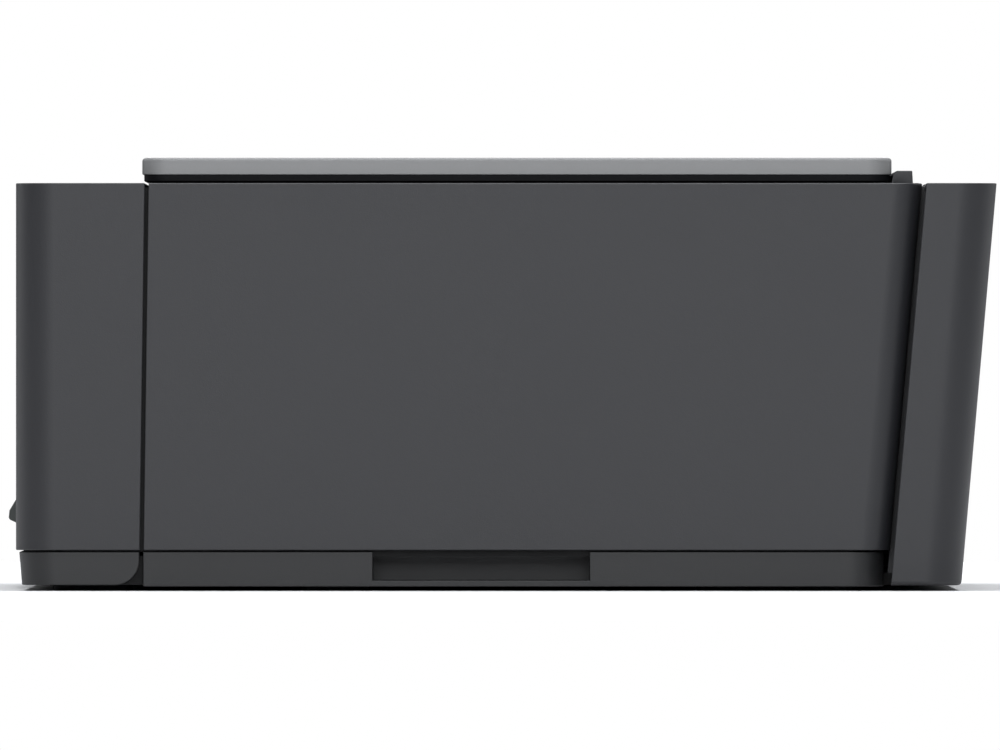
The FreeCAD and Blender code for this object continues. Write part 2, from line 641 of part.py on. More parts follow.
def place_train():
    """Centres (y, z) and phases of the five gears that follow the feed gear."""
    feed = (FEED_Y, FEED_Z, 0.0)
    idler_phase = meshed_phase(FEED_TEETH, feed[2], IDLER_TEETH, math.pi)
    idler = (FEED_Y - gear_gap(FEED_TEETH, IDLER_TEETH), FEED_Z, idler_phase)
    out_phase = meshed_phase(IDLER_TEETH, idler[2], FEED_TEETH, math.pi)
    out = (OUT_Y, FEED_Z, out_phase)
    down = math.radians(-10)
    reach = gear_gap(FEED_TEETH, PINION_TEETH)
    pinion_at = (FEED_Y + reach * math.cos(down), FEED_Z + reach * math.sin(down))
    pinion = (*pinion_at, meshed_phase(FEED_TEETH, feed[2], PINION_TEETH, down))
    to_pinion = gear_gap(PINION_TEETH, TRANSFER_TEETH)
    to_pick = gear_gap(TRANSFER_TEETH, PICK_TEETH)
    dy, dz = PICK_Y - pinion[0], PICK_Z - pinion[1]
    span = math.hypot(dy, dz)
    swing = math.acos((to_pinion**2 + span**2 - to_pick**2) / (2 * to_pinion * span))
    toward = math.atan2(dz, dy) - swing
    transfer_at = (pinion[0] + to_pinion * math.cos(toward), pinion[1] + to_pinion * math.sin(toward))
    transfer = (*transfer_at, meshed_phase(PINION_TEETH, pinion[2], TRANSFER_TEETH, toward))
    last = math.atan2(PICK_Z - transfer[1], PICK_Y - transfer[0])
    pick = (PICK_Y, PICK_Z, meshed_phase(TRANSFER_TEETH, transfer[2], PICK_TEETH, last))
    return {"feed": feed, "idler": idler, "out": out, "pinion": pinion, "transfer": transfer, "pick": pick}


TRAIN = place_train()
GEAR_X1 = GEAR_X0 + GEAR_W
PLATE_X0 = GEAR_X1 + 2.5
PLATE_X1 = PLATE_X0 + PLATE_T
RIGHT_X0 = BAY_X1 + 4.0
RIGHT_X1 = RIGHT_X0 + PLATE_T
ROLL_X0 = MEDIA_X - MEDIA / 2 - 2
ROLL_X1 = MEDIA_X + MEDIA / 2 + 2


# ---- paper feed ----------------------------------------------------------------------------
def platen_frame():
    """Ribbed platen, two bearing plates and the beam that carries the star wheels, in one moulding."""
    y0, y1 = OUT_Y + 8, FEED_Y - 8
    deck = box(PLATE_X0, RIGHT_X1, y0, y1, PLATEN_Z - 6, PLATEN_Z - 3)
    legs = [box(x, x + 2.5, y0, y1, BASE_TOP, PLATEN_Z - 3) for x in (ROLL_X0, ROLL_X1 - 2.5)]
    ribs = []
    count = 18
    for k in range(count):
        x = ROLL_X0 + 4 + (ROLL_X1 - ROLL_X0 - 8) * k / (count - 1)
        ribs.append(box(x - 0.6, x + 0.6, y0, y1, PLATEN_Z - 3.1, PLATEN_Z))
    plates = [box(PLATE_X0, PLATE_X1, OUT_Y - 8, FEED_Y + 46, BASE_TOP, PLATEN_Z + 1)]
    plates.append(box(RIGHT_X0, RIGHT_X1, OUT_Y - 8, FEED_Y + 8.5, BASE_TOP, PLATEN_Z + 1))
    ears = [box(x, x + PLATE_T, OUT_Y - 8, OUT_Y + 5, PLATEN_Z, 62) for x in (BAY_X0 - 4.5, RIGHT_X0)]
    ear_leg = box(BAY_X0 - 4.5, BAY_X0 - 2, OUT_Y - 8, OUT_Y + 9, PLATEN_Z - 6, PLATEN_Z + 1)
    beam = box(BAY_X0 - 4.5, RIGHT_X1, OUT_Y - 8, OUT_Y + 5, 60, 62)
    lip = box(BAY_X0 - 4.5, RIGHT_X1, OUT_Y - 8, OUT_Y - 6.5, 54, 62)
    frame = fuse(deck, *legs, *ribs, *plates, *ears, ear_leg, beam, lip)
    for y in (FEED_Y, OUT_Y):
        frame = frame.cut(rod_x(PLATE_X0 - 1, RIGHT_X1 + 1, y, FEED_Z, JOURNAL_R + RUN))
    frame = frame.cut(rod_x(BAY_X0 - 5, RIGHT_X1 + 1, OUT_Y, STAR_Z, 1.0 + RUN))
    pinion_y, pinion_z, _ = TRAIN["pinion"]
    frame = frame.cut(rod_x(PLATE_X0 - 1, PLATE_X1 + 1, pinion_y, pinion_z, 5.2))
    idler_y, idler_z, _ = TRAIN["idler"]
    transfer_y, transfer_z, _ = TRAIN["transfer"]
    back = box(PLATE_X0, PLATE_X1, transfer_y - 14, transfer_y + 8, BASE_TOP, transfer_z + 8)
    frame = fuse(frame, back)
    centres = ((idler_y, idler_z), (transfer_y, transfer_z))
    stubs = [rod_x(GEAR_X0 - 1, PLATE_X0 + 0.5, y, z, 2.5) for y, z in centres]
    return fuse(frame, *stubs)


STAR_Z = FEED_Z + FEED_R + 0.2 + STAR_R
PINCH_Z = FEED_Z + FEED_R + 0.2 + PINCH_R


def feed_roller():
    """The grit-coated shaft, its drive gear and the encoder disc."""
    shaft = fuse(
        rod_x(GEAR_X0 - 7, RIGHT_X1 + 2, FEED_Y, FEED_Z, JOURNAL_R),
        rod_x(ROLL_X0, ROLL_X1, FEED_Y, FEED_Z, FEED_R),
    )
    y, z, phase = TRAIN["feed"]
    gear = gear_x(MODULE, FEED_TEETH, phase, GEAR_X0, GEAR_X1, y, z, JOURNAL_R)
    disc = rod_x(GEAR_X0 - 5, GEAR_X0 - 4.4, y, z, 20).cut(rod_x(GEAR_X0 - 6, GEAR_X0, y, z, JOURNAL_R))
    return compound([shaft, gear, disc])


def output_roller():
    """The exit shaft with its rubber tyres and gear."""
    shaft = rod_x(GEAR_X0 - 2, RIGHT_X1 + 2, OUT_Y, FEED_Z, JOURNAL_R)
    tyres = []
    for k in range(8):
        x = ROLL_X0 + 16 + (ROLL_X1 - ROLL_X0 - 32) * k / 7
        tyre = rod_x(x - 5, x + 5, OUT_Y, FEED_Z, FEED_R).cut(rod_x(x - 6, x + 6, OUT_Y, FEED_Z, JOURNAL_R))
        tyres.append(tyre)
    y, z, phase = TRAIN["out"]
    gear = gear_x(MODULE, FEED_TEETH, phase, GEAR_X0, GEAR_X1, y, z, JOURNAL_R)
    return compound([shaft, gear, *tyres])


def star_wheels():
    """Thin toothed discs on one spring shaft, above the exit roller."""
    shaft = rod_x(BAY_X0 - 4.5, RIGHT_X1, OUT_Y, STAR_Z, 1.0)
    stars = []
    for k in range(8):
        x = ROLL_X0 + 16 + (ROLL_X1 - ROLL_X0 - 32) * k / 7
        outline = []
        for tooth in range(16):
            for r, share in ((STAR_R, 0.0), (STAR_R - 1.0, 0.5)):
                a = 2 * math.pi * (tooth + share) / 16
                outline.append((OUT_Y + r * math.cos(a), STAR_Z + r * math.sin(a)))
        stars.append(prism(outline, x - 0.5, x + 0.5))
    return fuse(shaft, *stars)


def pinch_rollers():
    """Free rollers that press the sheet on the feed roller, two on each steel pin."""
    rollers = []
    for x in pinch_spots():
        pin = rod_x(x - 17, x + 17, FEED_Y, PINCH_Z, 1.0)
        sleeves = [rod_x(x + side * 9 - 4.5, x + side * 9 + 4.5, FEED_Y, PINCH_Z, PINCH_R) for side in (-1, 1)]
        rollers.append(fuse(pin, *sleeves))
    return compound(rollers)


def pinch_spots():
    return [ROLL_X0 + (ROLL_X1 - ROLL_X0) * (k + 0.5) / 4 for k in range(4)]



def paper_chute():
    """The curved chute from the rear slot to the feed roller, with its cheeks, legs and shaft bearings."""
    inner, outer = CHUTE_R, CHUTE_R + CHUTE_T
    x0, x1 = BAY_X0 - 3, RIGHT_X1
    ring = rod_x(x0, x1, PICK_Y, PICK_Z, outer).cut(rod_x(x0 - 1, x1 + 1, PICK_Y, PICK_Z, inner))
    lower_rear = box(x0 - 1, x1 + 1, PICK_Y - 4, PICK_Y + outer + 1, PICK_Z - outer - 1, PICK_Z)
    chute = ring.common(lower_rear)
    ramp_y, ramp_z = FEED_Y + 9, FEED_Z + 3.2
    ramp = [
        (ramp_y, ramp_z),
        (PICK_Y - 3, PICK_Z - inner),
        (PICK_Y - 3, PICK_Z - outer),
        (ramp_y, ramp_z - 2.4),
    ]
    chute = fuse(chute, prism(ramp, x0, x1))
    legs = [prism([(PICK_Y - 30, BASE_TOP), (PICK_Y - 24, BASE_TOP), (PICK_Y - 12, PICK_Z - outer - 1.5),
                   (PICK_Y - 12, PICK_Z - outer + 4), (PICK_Y - 26, PICK_Z - outer + 1)], x, x + 2.5)
            for x in (x0, x1 - 2.5)]
    front_wall_y = rear_seam_y(PICK_Z) - 5.5
    upper = prism(
        [
            (rear_seam_y(SCAN_FLOOR - 1) - 4.5, SCAN_FLOOR - 1),
            (rear_seam_y(SCAN_FLOOR - 1) - 6.7, SCAN_FLOOR - 1),
            (front_wall_y - 1.5, PICK_Z + PICK_R + 6),
            (front_wall_y + 0.7, PICK_Z + PICK_R + 6),
        ],
        x0,
        x1,
    )
    cheek_outline = [
        (PICK_Y - 9, PICK_Z - outer + 2),
        (PICK_Y + 12, PICK_Z - outer + 8),
        (PICK_Y + 12, PICK_Z + 4),
        (front_wall_y + 0.7, PICK_Z + PICK_R + 8),
        (front_wall_y - 1.5, PICK_Z + PICK_R + 8),
        (PICK_Y - 9, PICK_Z + 8),
    ]
    cheeks = [prism(cheek_outline, x, x + 2.2) for x in (x0, x1 - 2.2)]
    outboard = box(PLATE_X0, PLATE_X1, PICK_Y - 7, PICK_Y + 7, PICK_Z - 8, PICK_Z + 8)
    strut = box(PLATE_X0, x0 + 1, PICK_Y - 7, PICK_Y - 5, PICK_Z - 8, PICK_Z + 8)
    guide = fuse(chute, upper, *legs, *cheeks, outboard, strut)
    return guide.cut(rod_x(PLATE_X0 - 1, x1 + 1, PICK_Y, PICK_Z, 3.0 + RUN))


def pinch_arms():
    """The four forked arms that hang the pinch rollers from the beam."""
    arms = []
    for x in pinch_spots():
        plate = prism(
            [
                (FEED_Y + 4, PINCH_Z + 0.8),
                (FEED_Y + 4, PINCH_Z + 3.2),
                (BEAM_Y - 1.4, PINCH_Z + 3.2),
                (BEAM_Y - 1.4, PINCH_Z + 0.8),
            ],
            x - 16,
            x + 16,
        )
        fork = []
        for fx in (x - 16, x - 1, x + 14):
            tip = box(fx, fx + 2, FEED_Y - 2, FEED_Y + 5, PINCH_Z - 1.8, PINCH_Z + 3.2)
            fork.append(tip.cut(rod_x(fx - 1, fx + 3, FEED_Y, PINCH_Z, 1.0 + RUN)))
        hanger = box(x - 6, x + 6, BEAM_Y - 2.4, BEAM_Y, PINCH_Z + 0.8, PINCH_Z + 6)
        arms.append(fuse(plate, hanger, *fork))
    return arms


def pick_roller():
    """The rubber pick roller on its long shaft, with its gear."""
    shaft = rod_x(GEAR_X0 - 2, RIGHT_X1 + 2, PICK_Y, PICK_Z, 3.0)
    core = rod_x(MEDIA_X - 24, MEDIA_X + 24, PICK_Y, PICK_Z, PICK_R - 3).cut(
        rod_x(MEDIA_X - 25, MEDIA_X + 25, PICK_Y, PICK_Z, 3.0)
    )
    tyre = rod_x(MEDIA_X - 22, MEDIA_X + 22, PICK_Y, PICK_Z, PICK_R).cut(
        rod_x(MEDIA_X - 25, MEDIA_X + 25, PICK_Y, PICK_Z, PICK_R - 3)
    )
    y, z, phase = TRAIN["pick"]
    gear = gear_x(MODULE, PICK_TEETH, phase, GEAR_X0, GEAR_X1, y, z, 3.0)
    return compound([shaft, core, tyre, gear])


def loose_gear(name, teeth):
    y, z, phase = TRAIN[name]
    return gear_x(MODULE, teeth, phase, GEAR_X0, GEAR_X1, y, z, 2.5 + RUN)


def motor_pinion():
    y, z, phase = TRAIN["pinion"]
    gear = gear_x(MODULE, PINION_TEETH, phase, GEAR_X0 - 0.5, GEAR_X1 + 0.5, y, z, 1.5)
    shaft = rod_x(GEAR_X0 - 1.5, PLATE_X1 + 3, y, z, 1.5)
    return compound([gear, shaft])


def drive_motors():
    """The paper-feed motor beside the gear train and the carriage motor behind the beam."""
    y, z, _ = TRAIN["pinion"]
    feed = fuse(rod_x(PLATE_X1 + 3, PLATE_X1 + 36, y, z, 13.0), rod_x(PLATE_X1, PLATE_X1 + 3.5, y, z, 5.0))
    feed = feed.cut(rod_x(PLATE_X1 - 1, PLATE_X1 + 3.2, y, z, 1.5 + RUN))
    back = BEAM_Y + BEAM_T
    boss = rod_y(DRIVE_X, back - 3, back + 1, PULLEY_Z, MOTOR_BOSS_R)
    carriage = fuse(rod_y(DRIVE_X, back, back + 26, PULLEY_Z, 12.5), boss)
    carriage = carriage.cut(rod_y(DRIVE_X, back - 4, back + 5, PULLEY_Z, 1.5 + RUN))
    return compound([feed, carriage])


# ---- carriage ------------------------------------------------------------------------------
def chassis_beam():
    """Folded steel beam behind the carriage, with an end plate that carries each end of the rod."""
    top = BEAM_TOP
    plate = box(-END_X, END_X, BEAM_Y, BEAM_Y + BEAM_T, PLATEN_Z + 9, top)
    lip = box(-END_X, END_X, ROD_Y - 4, BEAM_Y + BEAM_T, top - BEAM_T, top)
    beam = fuse(plate, lip)
    for side in (-1, 1):
        low, high = sorted((side * END_X, side * (END_X + BEAM_T)))
        end = box(low, high, ROD_Y - 12, BEAM_Y + BEAM_T, BASE_TOP, top)
        foot_low, foot_high = sorted((side * (END_X - 8), side * (END_X + BEAM_T)))
        foot = box(foot_low, foot_high, ROD_Y - 12, BEAM_Y + BEAM_T, BASE_TOP, BASE_TOP + BEAM_T)
        beam = fuse(beam, end, foot)
    clip = box(CLIP_X - CLIP_HALF, CLIP_X + CLIP_HALF, CLIP_Y0, CLIP_Y1, TUBE_Z - 2.3, top)
    strap = box(CLIP_X - CLIP_HALF, CLIP_X + CLIP_HALF, CLIP_Y0, ROD_Y - 3, top - BEAM_T, top)
    beam = fuse(beam, clip, strap).cut(rod_x(-HALF, HALF, ROD_Y, ROD_Z, ROD_R))
    beam = beam.cut(rod_y(DRIVE_X, BEAM_Y - 1, BEAM_Y + BEAM_T + 1, PULLEY_Z, MOTOR_BOSS_R + SLIP))
    return beam.cut(rod_y(IDLE_X, BEAM_Y - 1, BEAM_Y + BEAM_T + 1, PULLEY_Z, 2.0))


def guide_rod():
    return rod_x(-END_X - BEAM_T - 1, END_X + BEAM_T + 1, ROD_Y, ROD_Z, ROD_R)


def carriage():
    x, half = PARK_X, CARRIAGE_HALF
    front = OUT_Y + 8
    cup = box(x - half, x + half, front, ROD_Y - 9, CARRIAGE_Z0, CARRIAGE_Z1)
    for side in (-1, 1):
        low, high = sorted((x + side * 2, x + side * (half - 3)))
        cup = cup.cut(box(low, high, front + 3, ROD_Y - 12, CARRIAGE_Z0 + 2, CARRIAGE_Z1 + 1))
        low, high = sorted((x + side * 8, x + side * 32))
        cup = cup.cut(box(low, high, front + 16, front + 52, CARRIAGE_Z0 - 1, CARRIAGE_Z0 + 3))
    boss = box(x - half + 2, x + half - 2, ROD_Y - 9.5, ROD_Y + 6.5, ROD_Z - 8, ROD_Z + 8)
    web = box(x - half + 2, x + half - 2, ROD_Y - 9.5, ROD_Y - 3, ROD_Z, CARRIAGE_Z1)
    pad = box(x - 12, x + 12, ROD_Y - 4, ROD_Y + 4, CARRIAGE_Z1 - 4, BEAM_TOP - BEAM_T - SLIP)
    arm = box(x - 12, x + 12, ROD_Y - 4, BELT_Y0 + 1, PULLEY_Z - PULLEY_R - 4.5, PULLEY_Z - 1)
    clamp = box(x - 12, x + 12, BELT_Y0 - 1, BELT_Y0 + BELT_W + 0.8, PULLEY_Z - PULLEY_R - 4.5, PULLEY_Z - 1)
    body = fuse(cup, boss, web, pad, arm, clamp)
    body = body.cut(rod_x(x - 60, x + 60, ROD_Y, ROD_Z, ROD_R + RUN))
    run_z = PULLEY_Z - PULLEY_R - BELT_T
    slot_y1 = BELT_Y0 + BELT_W + SLIP
    belt_slot = box(x - 20, x + 20, BELT_Y0 - SLIP, slot_y1, run_z - SLIP, run_z + BELT_T + SLIP)
    ear_spots = (x - half, x + half - 3)
    ears = [box(ex, ex + 3, LATCH_Y - 4, LATCH_Y + 2, CARRIAGE_Z1 - 1, LATCH_Z + 2.5) for ex in ear_spots]
    body = fuse(body.cut(belt_slot), *ears)
    return body.cut(rod_x(x - 60, x + 60, LATCH_Y, LATCH_Z, 1.2 + RUN))


LATCH_Y = ROD_Y - 13.0
LATCH_Z = CARRIAGE_Z1 + 2.6


def carriage_latch():
    """The flip-up latch over the print heads."""
    x, half = PARK_X, CARRIAGE_HALF - 3 - SLIP
    plate = box(x - half, x + half, LATCH_Y - 36, LATCH_Y, CARRIAGE_Z1 + 0.8, CARRIAGE_Z1 + 3.2)
    tab = box(x - 14, x + 14, LATCH_Y - 40, LATCH_Y - 34, CARRIAGE_Z1 + 0.8, CARRIAGE_Z1 + 5)
    barrel = rod_x(x - half, x + half, LATCH_Y, LATCH_Z, 1.8)
    pin = rod_x(x - half - 2.6, x + half + 2.6, LATCH_Y, LATCH_Z, 1.2)
    return fuse(plate, tab, barrel, pin)


def print_heads():
    """Two print heads, each with its nozzle plate below."""
    heads = []
    front = OUT_Y + 8
    for side in (-1, 1):
        low, high = sorted((PARK_X + side * 2.4, PARK_X + side * (CARRIAGE_HALF - 3.4)))
        case = box(low, high, front + 3.4, ROD_Y - 12.4, CARRIAGE_Z0 + 2.4, CARRIAGE_Z1 - 3)
        case = fillet(case, 2.0, upright)
        low, high = sorted((PARK_X + side * 9, PARK_X + side * 31))
        nozzle = box(low, high, front + 17, front + 51, CARRIAGE_Z0 - 0.8, CARRIAGE_Z0 + 3)
        heads.append(fuse(case, nozzle))
    return compound(heads)


def carriage_belt():
    """One closed loop round both pulleys."""
    outer_r, inner_r = PULLEY_R + BELT_T, PULLEY_R
    y1 = BELT_Y0 + BELT_W
    loops = []
    for r in (outer_r, inner_r):
        ends = [rod_y(x, BELT_Y0, y1, PULLEY_Z, r) for x in (DRIVE_X, IDLE_X)]
        loops.append(fuse(box(DRIVE_X, IDLE_X, BELT_Y0, y1, PULLEY_Z - r, PULLEY_Z + r), *ends))
    return loops[0].cut(loops[1])


def pulley(x, shaft_y1, shaft_r):
    """A flanged pulley with its shaft, inside the end of the belt loop."""
    wheel = rod_y(x, BELT_Y0, BELT_Y0 + BELT_W, PULLEY_Z, PULLEY_R - RUN)
    flanges = [rod_y(x, y, y + 0.6, PULLEY_Z, PULLEY_R + 1.2) for y in (BELT_Y0 - 0.8, BELT_Y0 + BELT_W + 0.2)]
    hubs = rod_y(x, BELT_Y0 - 0.8, BELT_Y0 + BELT_W + 0.8, PULLEY_Z, 3.5)
    return fuse(wheel, hubs, *flanges, rod_y(x, BELT_Y0 - 1.5, shaft_y1, PULLEY_Z, shaft_r))


def carriage_pulley():
    return pulley(DRIVE_X, BEAM_Y + BEAM_T + 4, 1.5)


def idler_pulley():
    return pulley(IDLE_X, BEAM_Y + BEAM_T + 2, 2.0 - RUN)


# ---- service station -----------------------------------------------------------------------
STATION_X0 = PARK_X - CARRIAGE_HALF + 1
STATION_X1 = PARK_X + CARRIAGE_HALF + 6


def service_station():
    """The waste-ink trough with its absorber pad and the rails that the sled runs on."""
    y0, y1 = OUT_Y - 12, FEED_Y + 12
    trough = box(STATION_X0, STATION_X1, y0, y1, BASE_TOP, 37).cut(
        box(STATION_X0 + 2, STATION_X1 - 2, y0 + 2, y1 - 2, BASE_TOP + 2, 38)
    )
    shelves = [
        box(STATION_X0 + 1, STATION_X0 + 7, y0 + 1, y1 - 1, 31, 33),
        box(STATION_X1 - 7, STATION_X1 - 1, y0 + 1, y1 - 1, 31, 33),
    ]
    pad = box(STATION_X0 + 8, STATION_X1 - 8, y0 + 3, y1 - 3, BASE_TOP + 2, 28)
    return compound([fuse(trough, *shelves), pad])


def service_sled():
    """The sliding sled with two sealing caps and two wiper blades."""
    x0, x1 = STATION_X0 + 2.6, STATION_X1 - 2.6
    y0, y1 = OUT_Y + 16, FEED_Y + 6
    tray = box(x0, x1, y0, y1, 33 + SLIP, 42)
    for side in (-1, 1):
        middle = PARK_X + side * 20
        cap = rounded_box(middle - 13, middle + 13, y0 + 8, y0 + 46, 41, CARRIAGE_Z0 - 1.2, 3.0)
        cap = cap.cut(box(middle - 10, middle + 10, y0 + 11, y0 + 43, 46, CARRIAGE_Z0))
        wiper = box(middle - 12, middle + 12, y0 + 2, y0 + 3.2, 41, CARRIAGE_Z0 - 1.2)
        tray = fuse(tray, cap, wiper)
    return tray


# ---- ink -----------------------------------------------------------------------------------
def tank_span(k):
    x0 = TANK_X0 + k * TANK_PITCH
    return x0, x0 + TANK_W


def ink_tanks():
    """Four clear tanks, each with a front window boss, a filling neck and the cap's hinge pin."""
    tanks = []
    for k in range(4):
        x0, x1 = tank_span(k)
        middle = (x0 + x1) / 2
        outside = fuse(
            rounded_box(x0, x1, TANK_Y0, TANK_Y1, TANK_Z0, TANK_Z1, 1.5),
            box(x0 + 1.6, x1 - 1.6, FRONT + 0.6, TANK_Y0 + 1, TANK_Z0 + 12, TANK_Z1 - 14),
        )
        wall = TANK_WALL
        inside = fuse(
            box(x0 + wall, x1 - wall, TANK_Y0 + wall, TANK_Y1 - wall, TANK_Z0 + 2, TANK_Z1 - 2),
            box(x0 + 3.4, x1 - 3.4, FRONT + 2.2, TANK_Y0 + 3, TANK_Z0 + 14, TANK_Z1 - 16),
        )
        neck = post(middle, NECK_Y, TANK_Z1 - 1, TANK_Z1 + 5, NECK_R)
        ears = [
            box(ex, ex + 2.5, CAP_PIVOT_Y - 3, CAP_PIVOT_Y + 3, TANK_Z1 - 0.5, CAP_PIVOT_Z + 2)
            for ex in (middle - 7, middle + 4.5)
        ]
        pin = rod_x(middle - 5, middle + 5, CAP_PIVOT_Y, CAP_PIVOT_Z, 1.0)
        spout = rod_y(middle, TANK_Y1 - 0.5, TANK_Y1 + 6, TANK_Z0 + 8, 2.2)
        tank = fuse(outside.cut(inside), neck, *ears, pin, spout)
        tank = tank.cut(post(middle, NECK_Y, TANK_Z1 - 4, TANK_Z1 + 6, NECK_R - 1.5))
        tank = tank.cut(rod_y(middle, TANK_Y1 - 3, TANK_Y1 + 7, TANK_Z0 + 8, 1.0))
        tanks.append(tank)
    return compound(tanks)


def tank_cap(k):
    """A hinged stopper over one filling neck."""
    x0, x1 = tank_span(k)
    middle = (x0 + x1) / 2
    top = TANK_Z1 + 5.2
    disc = post(middle, NECK_Y, top, top + 4.2, 8.0)
    disc = fillet(disc, 1.0, lambda e: abs(e.CenterOfMass.z - top - 4.2) < 0.01)
    plug = post(middle, NECK_Y, top - 1.6, top + 1, NECK_R - 1.5 - 1.0)
    arm = box(middle - 3.8, middle + 3.8, NECK_Y + 4, CAP_PIVOT_Y, top + 0.6, top + 3.4)
    barrel = rod_x(middle - 4.2, middle + 4.2, CAP_PIVOT_Y, CAP_PIVOT_Z, 2.6)
    tab = box(middle - 5, middle + 5, NECK_Y - 9.6, NECK_Y - 6, top + 1.2, top + 3.4)
    cap = fuse(disc, plug, arm, barrel, tab)
    return cap.cut(rod_x(middle - 10, middle + 10, CAP_PIVOT_Y, CAP_PIVOT_Z, 1.0 + RUN))


def bent_tube(points, bend, r):
    """A tube along straight runs joined by arcs of radius bend."""
    points = [Vector(*p) for p in points]
    edges, here = [], points[0]
    for before, corner, after in zip(points, points[1:], points[2:]):
        u = (before - corner).normalize()
        v = (after - corner).normalize()
        half = u.getAngle(v) / 2
        cut_back = bend / math.tan(half)
        start, end = corner + u * cut_back, corner + v * cut_back
        middle = (u + v).normalize()
        centre = corner + middle * (bend / math.sin(half))
        edges.append(Part.LineSegment(here, start).toShape())
        edges.append(Part.Arc(start, centre - middle * bend, end).toShape())
        here = end
    edges.append(Part.LineSegment(here, points[-1]).toShape())
    path = Part.Wire(edges)
    direction = points[1] - points[0]
    section = Part.Wire([Part.makeCircle(r, points[0], direction)])
    return path.makePipeShell([section], True, False)


def ink_tubes():
    """Four ink tubes: back from the tanks, up beside the bay, then over to the clip on the beam."""
    tubes = []
    level = TANK_Z0 + 8
    for k in range(4):
        x0, x1 = tank_span(k)
        middle = (x0 + x1) / 2
        lane = OUT_Y - 15 - TUBE_PITCH * (3 - k)
        rise = BAY_X1 + 30 + TUBE_PITCH * k
        end = CLIP_X + TUBE_PITCH * (k - 1.5)
        route = [
            (middle, TANK_Y1 + 6.2, level),
            (middle, lane - 9, level),
            (rise, lane, level + 18),
            (rise, lane, TUBE_Z),
            (end, lane, TUBE_Z),
            (end, CLIP_Y0, TUBE_Z),
        ]
        tubes.append(bent_tube(route, 5.0, TUBE_R))
    return compound(tubes)


# ---- trays, door and lids ------------------------------------------------------------------
DOOR_AXIS_Y = FRONT + 3.65
DOOR_AXIS_Z = DOOR_Z0 + 3.0
TANK_LID_AXIS_Y = STRIP_Y1 - 0.4
TANK_LID_AXIS_Z = BODY_TOP - 1.5
EXTENDER_Z = 24.0
EXTENDER_HALF = 90.0
EXTENDER_X0 = MEDIA_X - EXTENDER_HALF
EXTENDER_X1 = MEDIA_X + EXTENDER_HALF


def output_tray():
    """The fixed tray under the door: a floor, a deck and low side walls, with a slot for the extender."""
    x0, x1 = BAY_X0 + 0.6, BAY_X1 - 0.6
    y0, y1 = FRONT + 4.0, OUT_Y - 9
    floor = box(x0, x1, y0, y1, BAY_Z0 + 0.8, BAY_Z0 + 2.8)
    deck = box(x0, x1, y0, y1, DECK_Z, DECK_Z + 2)
    walls = [box(x, x + 2, y0, y1, BAY_Z0 + 0.8, DECK_Z + 12) for x in (x0, x1 - 2)]
    rear = box(x0, x1, y1 - 2, y1, BAY_Z0 + 0.8, DECK_Z + 6)
    guides = [box(x, x + 4, y0, y1, BAY_Z0 + 2, DECK_Z + 1) for x in (EXTENDER_X0 - 5, EXTENDER_X1 + 1)]
    foot_corners = [(x, y) for x in (x0 + 10, x1 - 16) for y in (FRONT + 66.15, y1 - 10)]
    feet = [box(x, x + 6, y, y + 6, BASE_TOP, BAY_Z0 + 1) for x, y in foot_corners]
    tray = fuse(floor, deck, *walls, rear, *guides, *feet)
    notch = box(EXTENDER_X0 - 1, EXTENDER_X1 + 1, y0 - 1, y0 + 9, DECK_Z - 1, DECK_Z + 3)
    return tray.cut(notch)


def output_extender():
    """The sliding tray extension, with a wedge-shaped lip that stops the sheets."""
    plate = box(EXTENDER_X0, EXTENDER_X1, FRONT + 1, OUT_Y - 16, EXTENDER_Z, EXTENDER_Z + 2.4)
    low, high = EXTENDER_Z - 1, EXTENDER_Z + 4
    for k in range(3):
        y = FRONT + 36 + 34 * k
        plate = plate.cut(rounded_box(EXTENDER_X0 + 14, EXTENDER_X1 - 14, y, y + 22, low, high, 3.0))
    tip = FRONT - LIP_REACH
    outline = [
        (FRONT + 1.2, EXTENDER_Z - 0.6),
        (FRONT, EXTENDER_Z - 0.7),
        (tip + 0.35, EXTENDER_Z + 1.3),
        (tip, EXTENDER_Z + 2.1),
        (tip + 0.25, EXTENDER_Z + 4.7),
        (FRONT, EXTENDER_Z + 12),
        (FRONT + 1.8, EXTENDER_Z + 12.6),
        (FRONT + 4.6, EXTENDER_Z + 3.4),
        (FRONT + 4.6, EXTENDER_Z),
    ]
    lip = prism(outline, EXTENDER_X0, EXTENDER_X1)
    return fuse(plate, lip)


def front_door():
    """The drop-down access door above the tray, with its pins, ribs and a finger scoop."""
    x0, x1 = BAY_X0 + 0.8, BAY_X1 - 0.8
    panel = box(x0, x1, FRONT, FRONT + WALL, DOOR_Z0, BAY_Z1 - 0.8)
    panel = fillet(panel, 0.6, lambda e: abs(e.CenterOfMass.y - FRONT) < 0.01)
    scoop = rod_x(MEDIA_X - 24, MEDIA_X + 24, FRONT - 3.0, BAY_Z1 + 1.2, 5.2)
    back = FRONT + WALL - 0.2
    ribs = [box(x, x + 1.6, back, FRONT + 6, DOOR_Z0 + 7, BAY_Z1 - 8) for x in (x0 + 20, MEDIA_X, x1 - 22)]
    flange = box(x0 + 2, x1 - 2, back, FRONT + 6, BAY_Z1 - 9, BAY_Z1 - 7)
    barrel = rod_x(x0, x1, DOOR_AXIS_Y, DOOR_AXIS_Z, 2.6)
    pin = rod_x(BAY_X0 - 1.8, BAY_X1 + 1.8, DOOR_AXIS_Y, DOOR_AXIS_Z, 1.5)
    return fuse(panel.cut(scoop), *ribs, flange, barrel, pin)


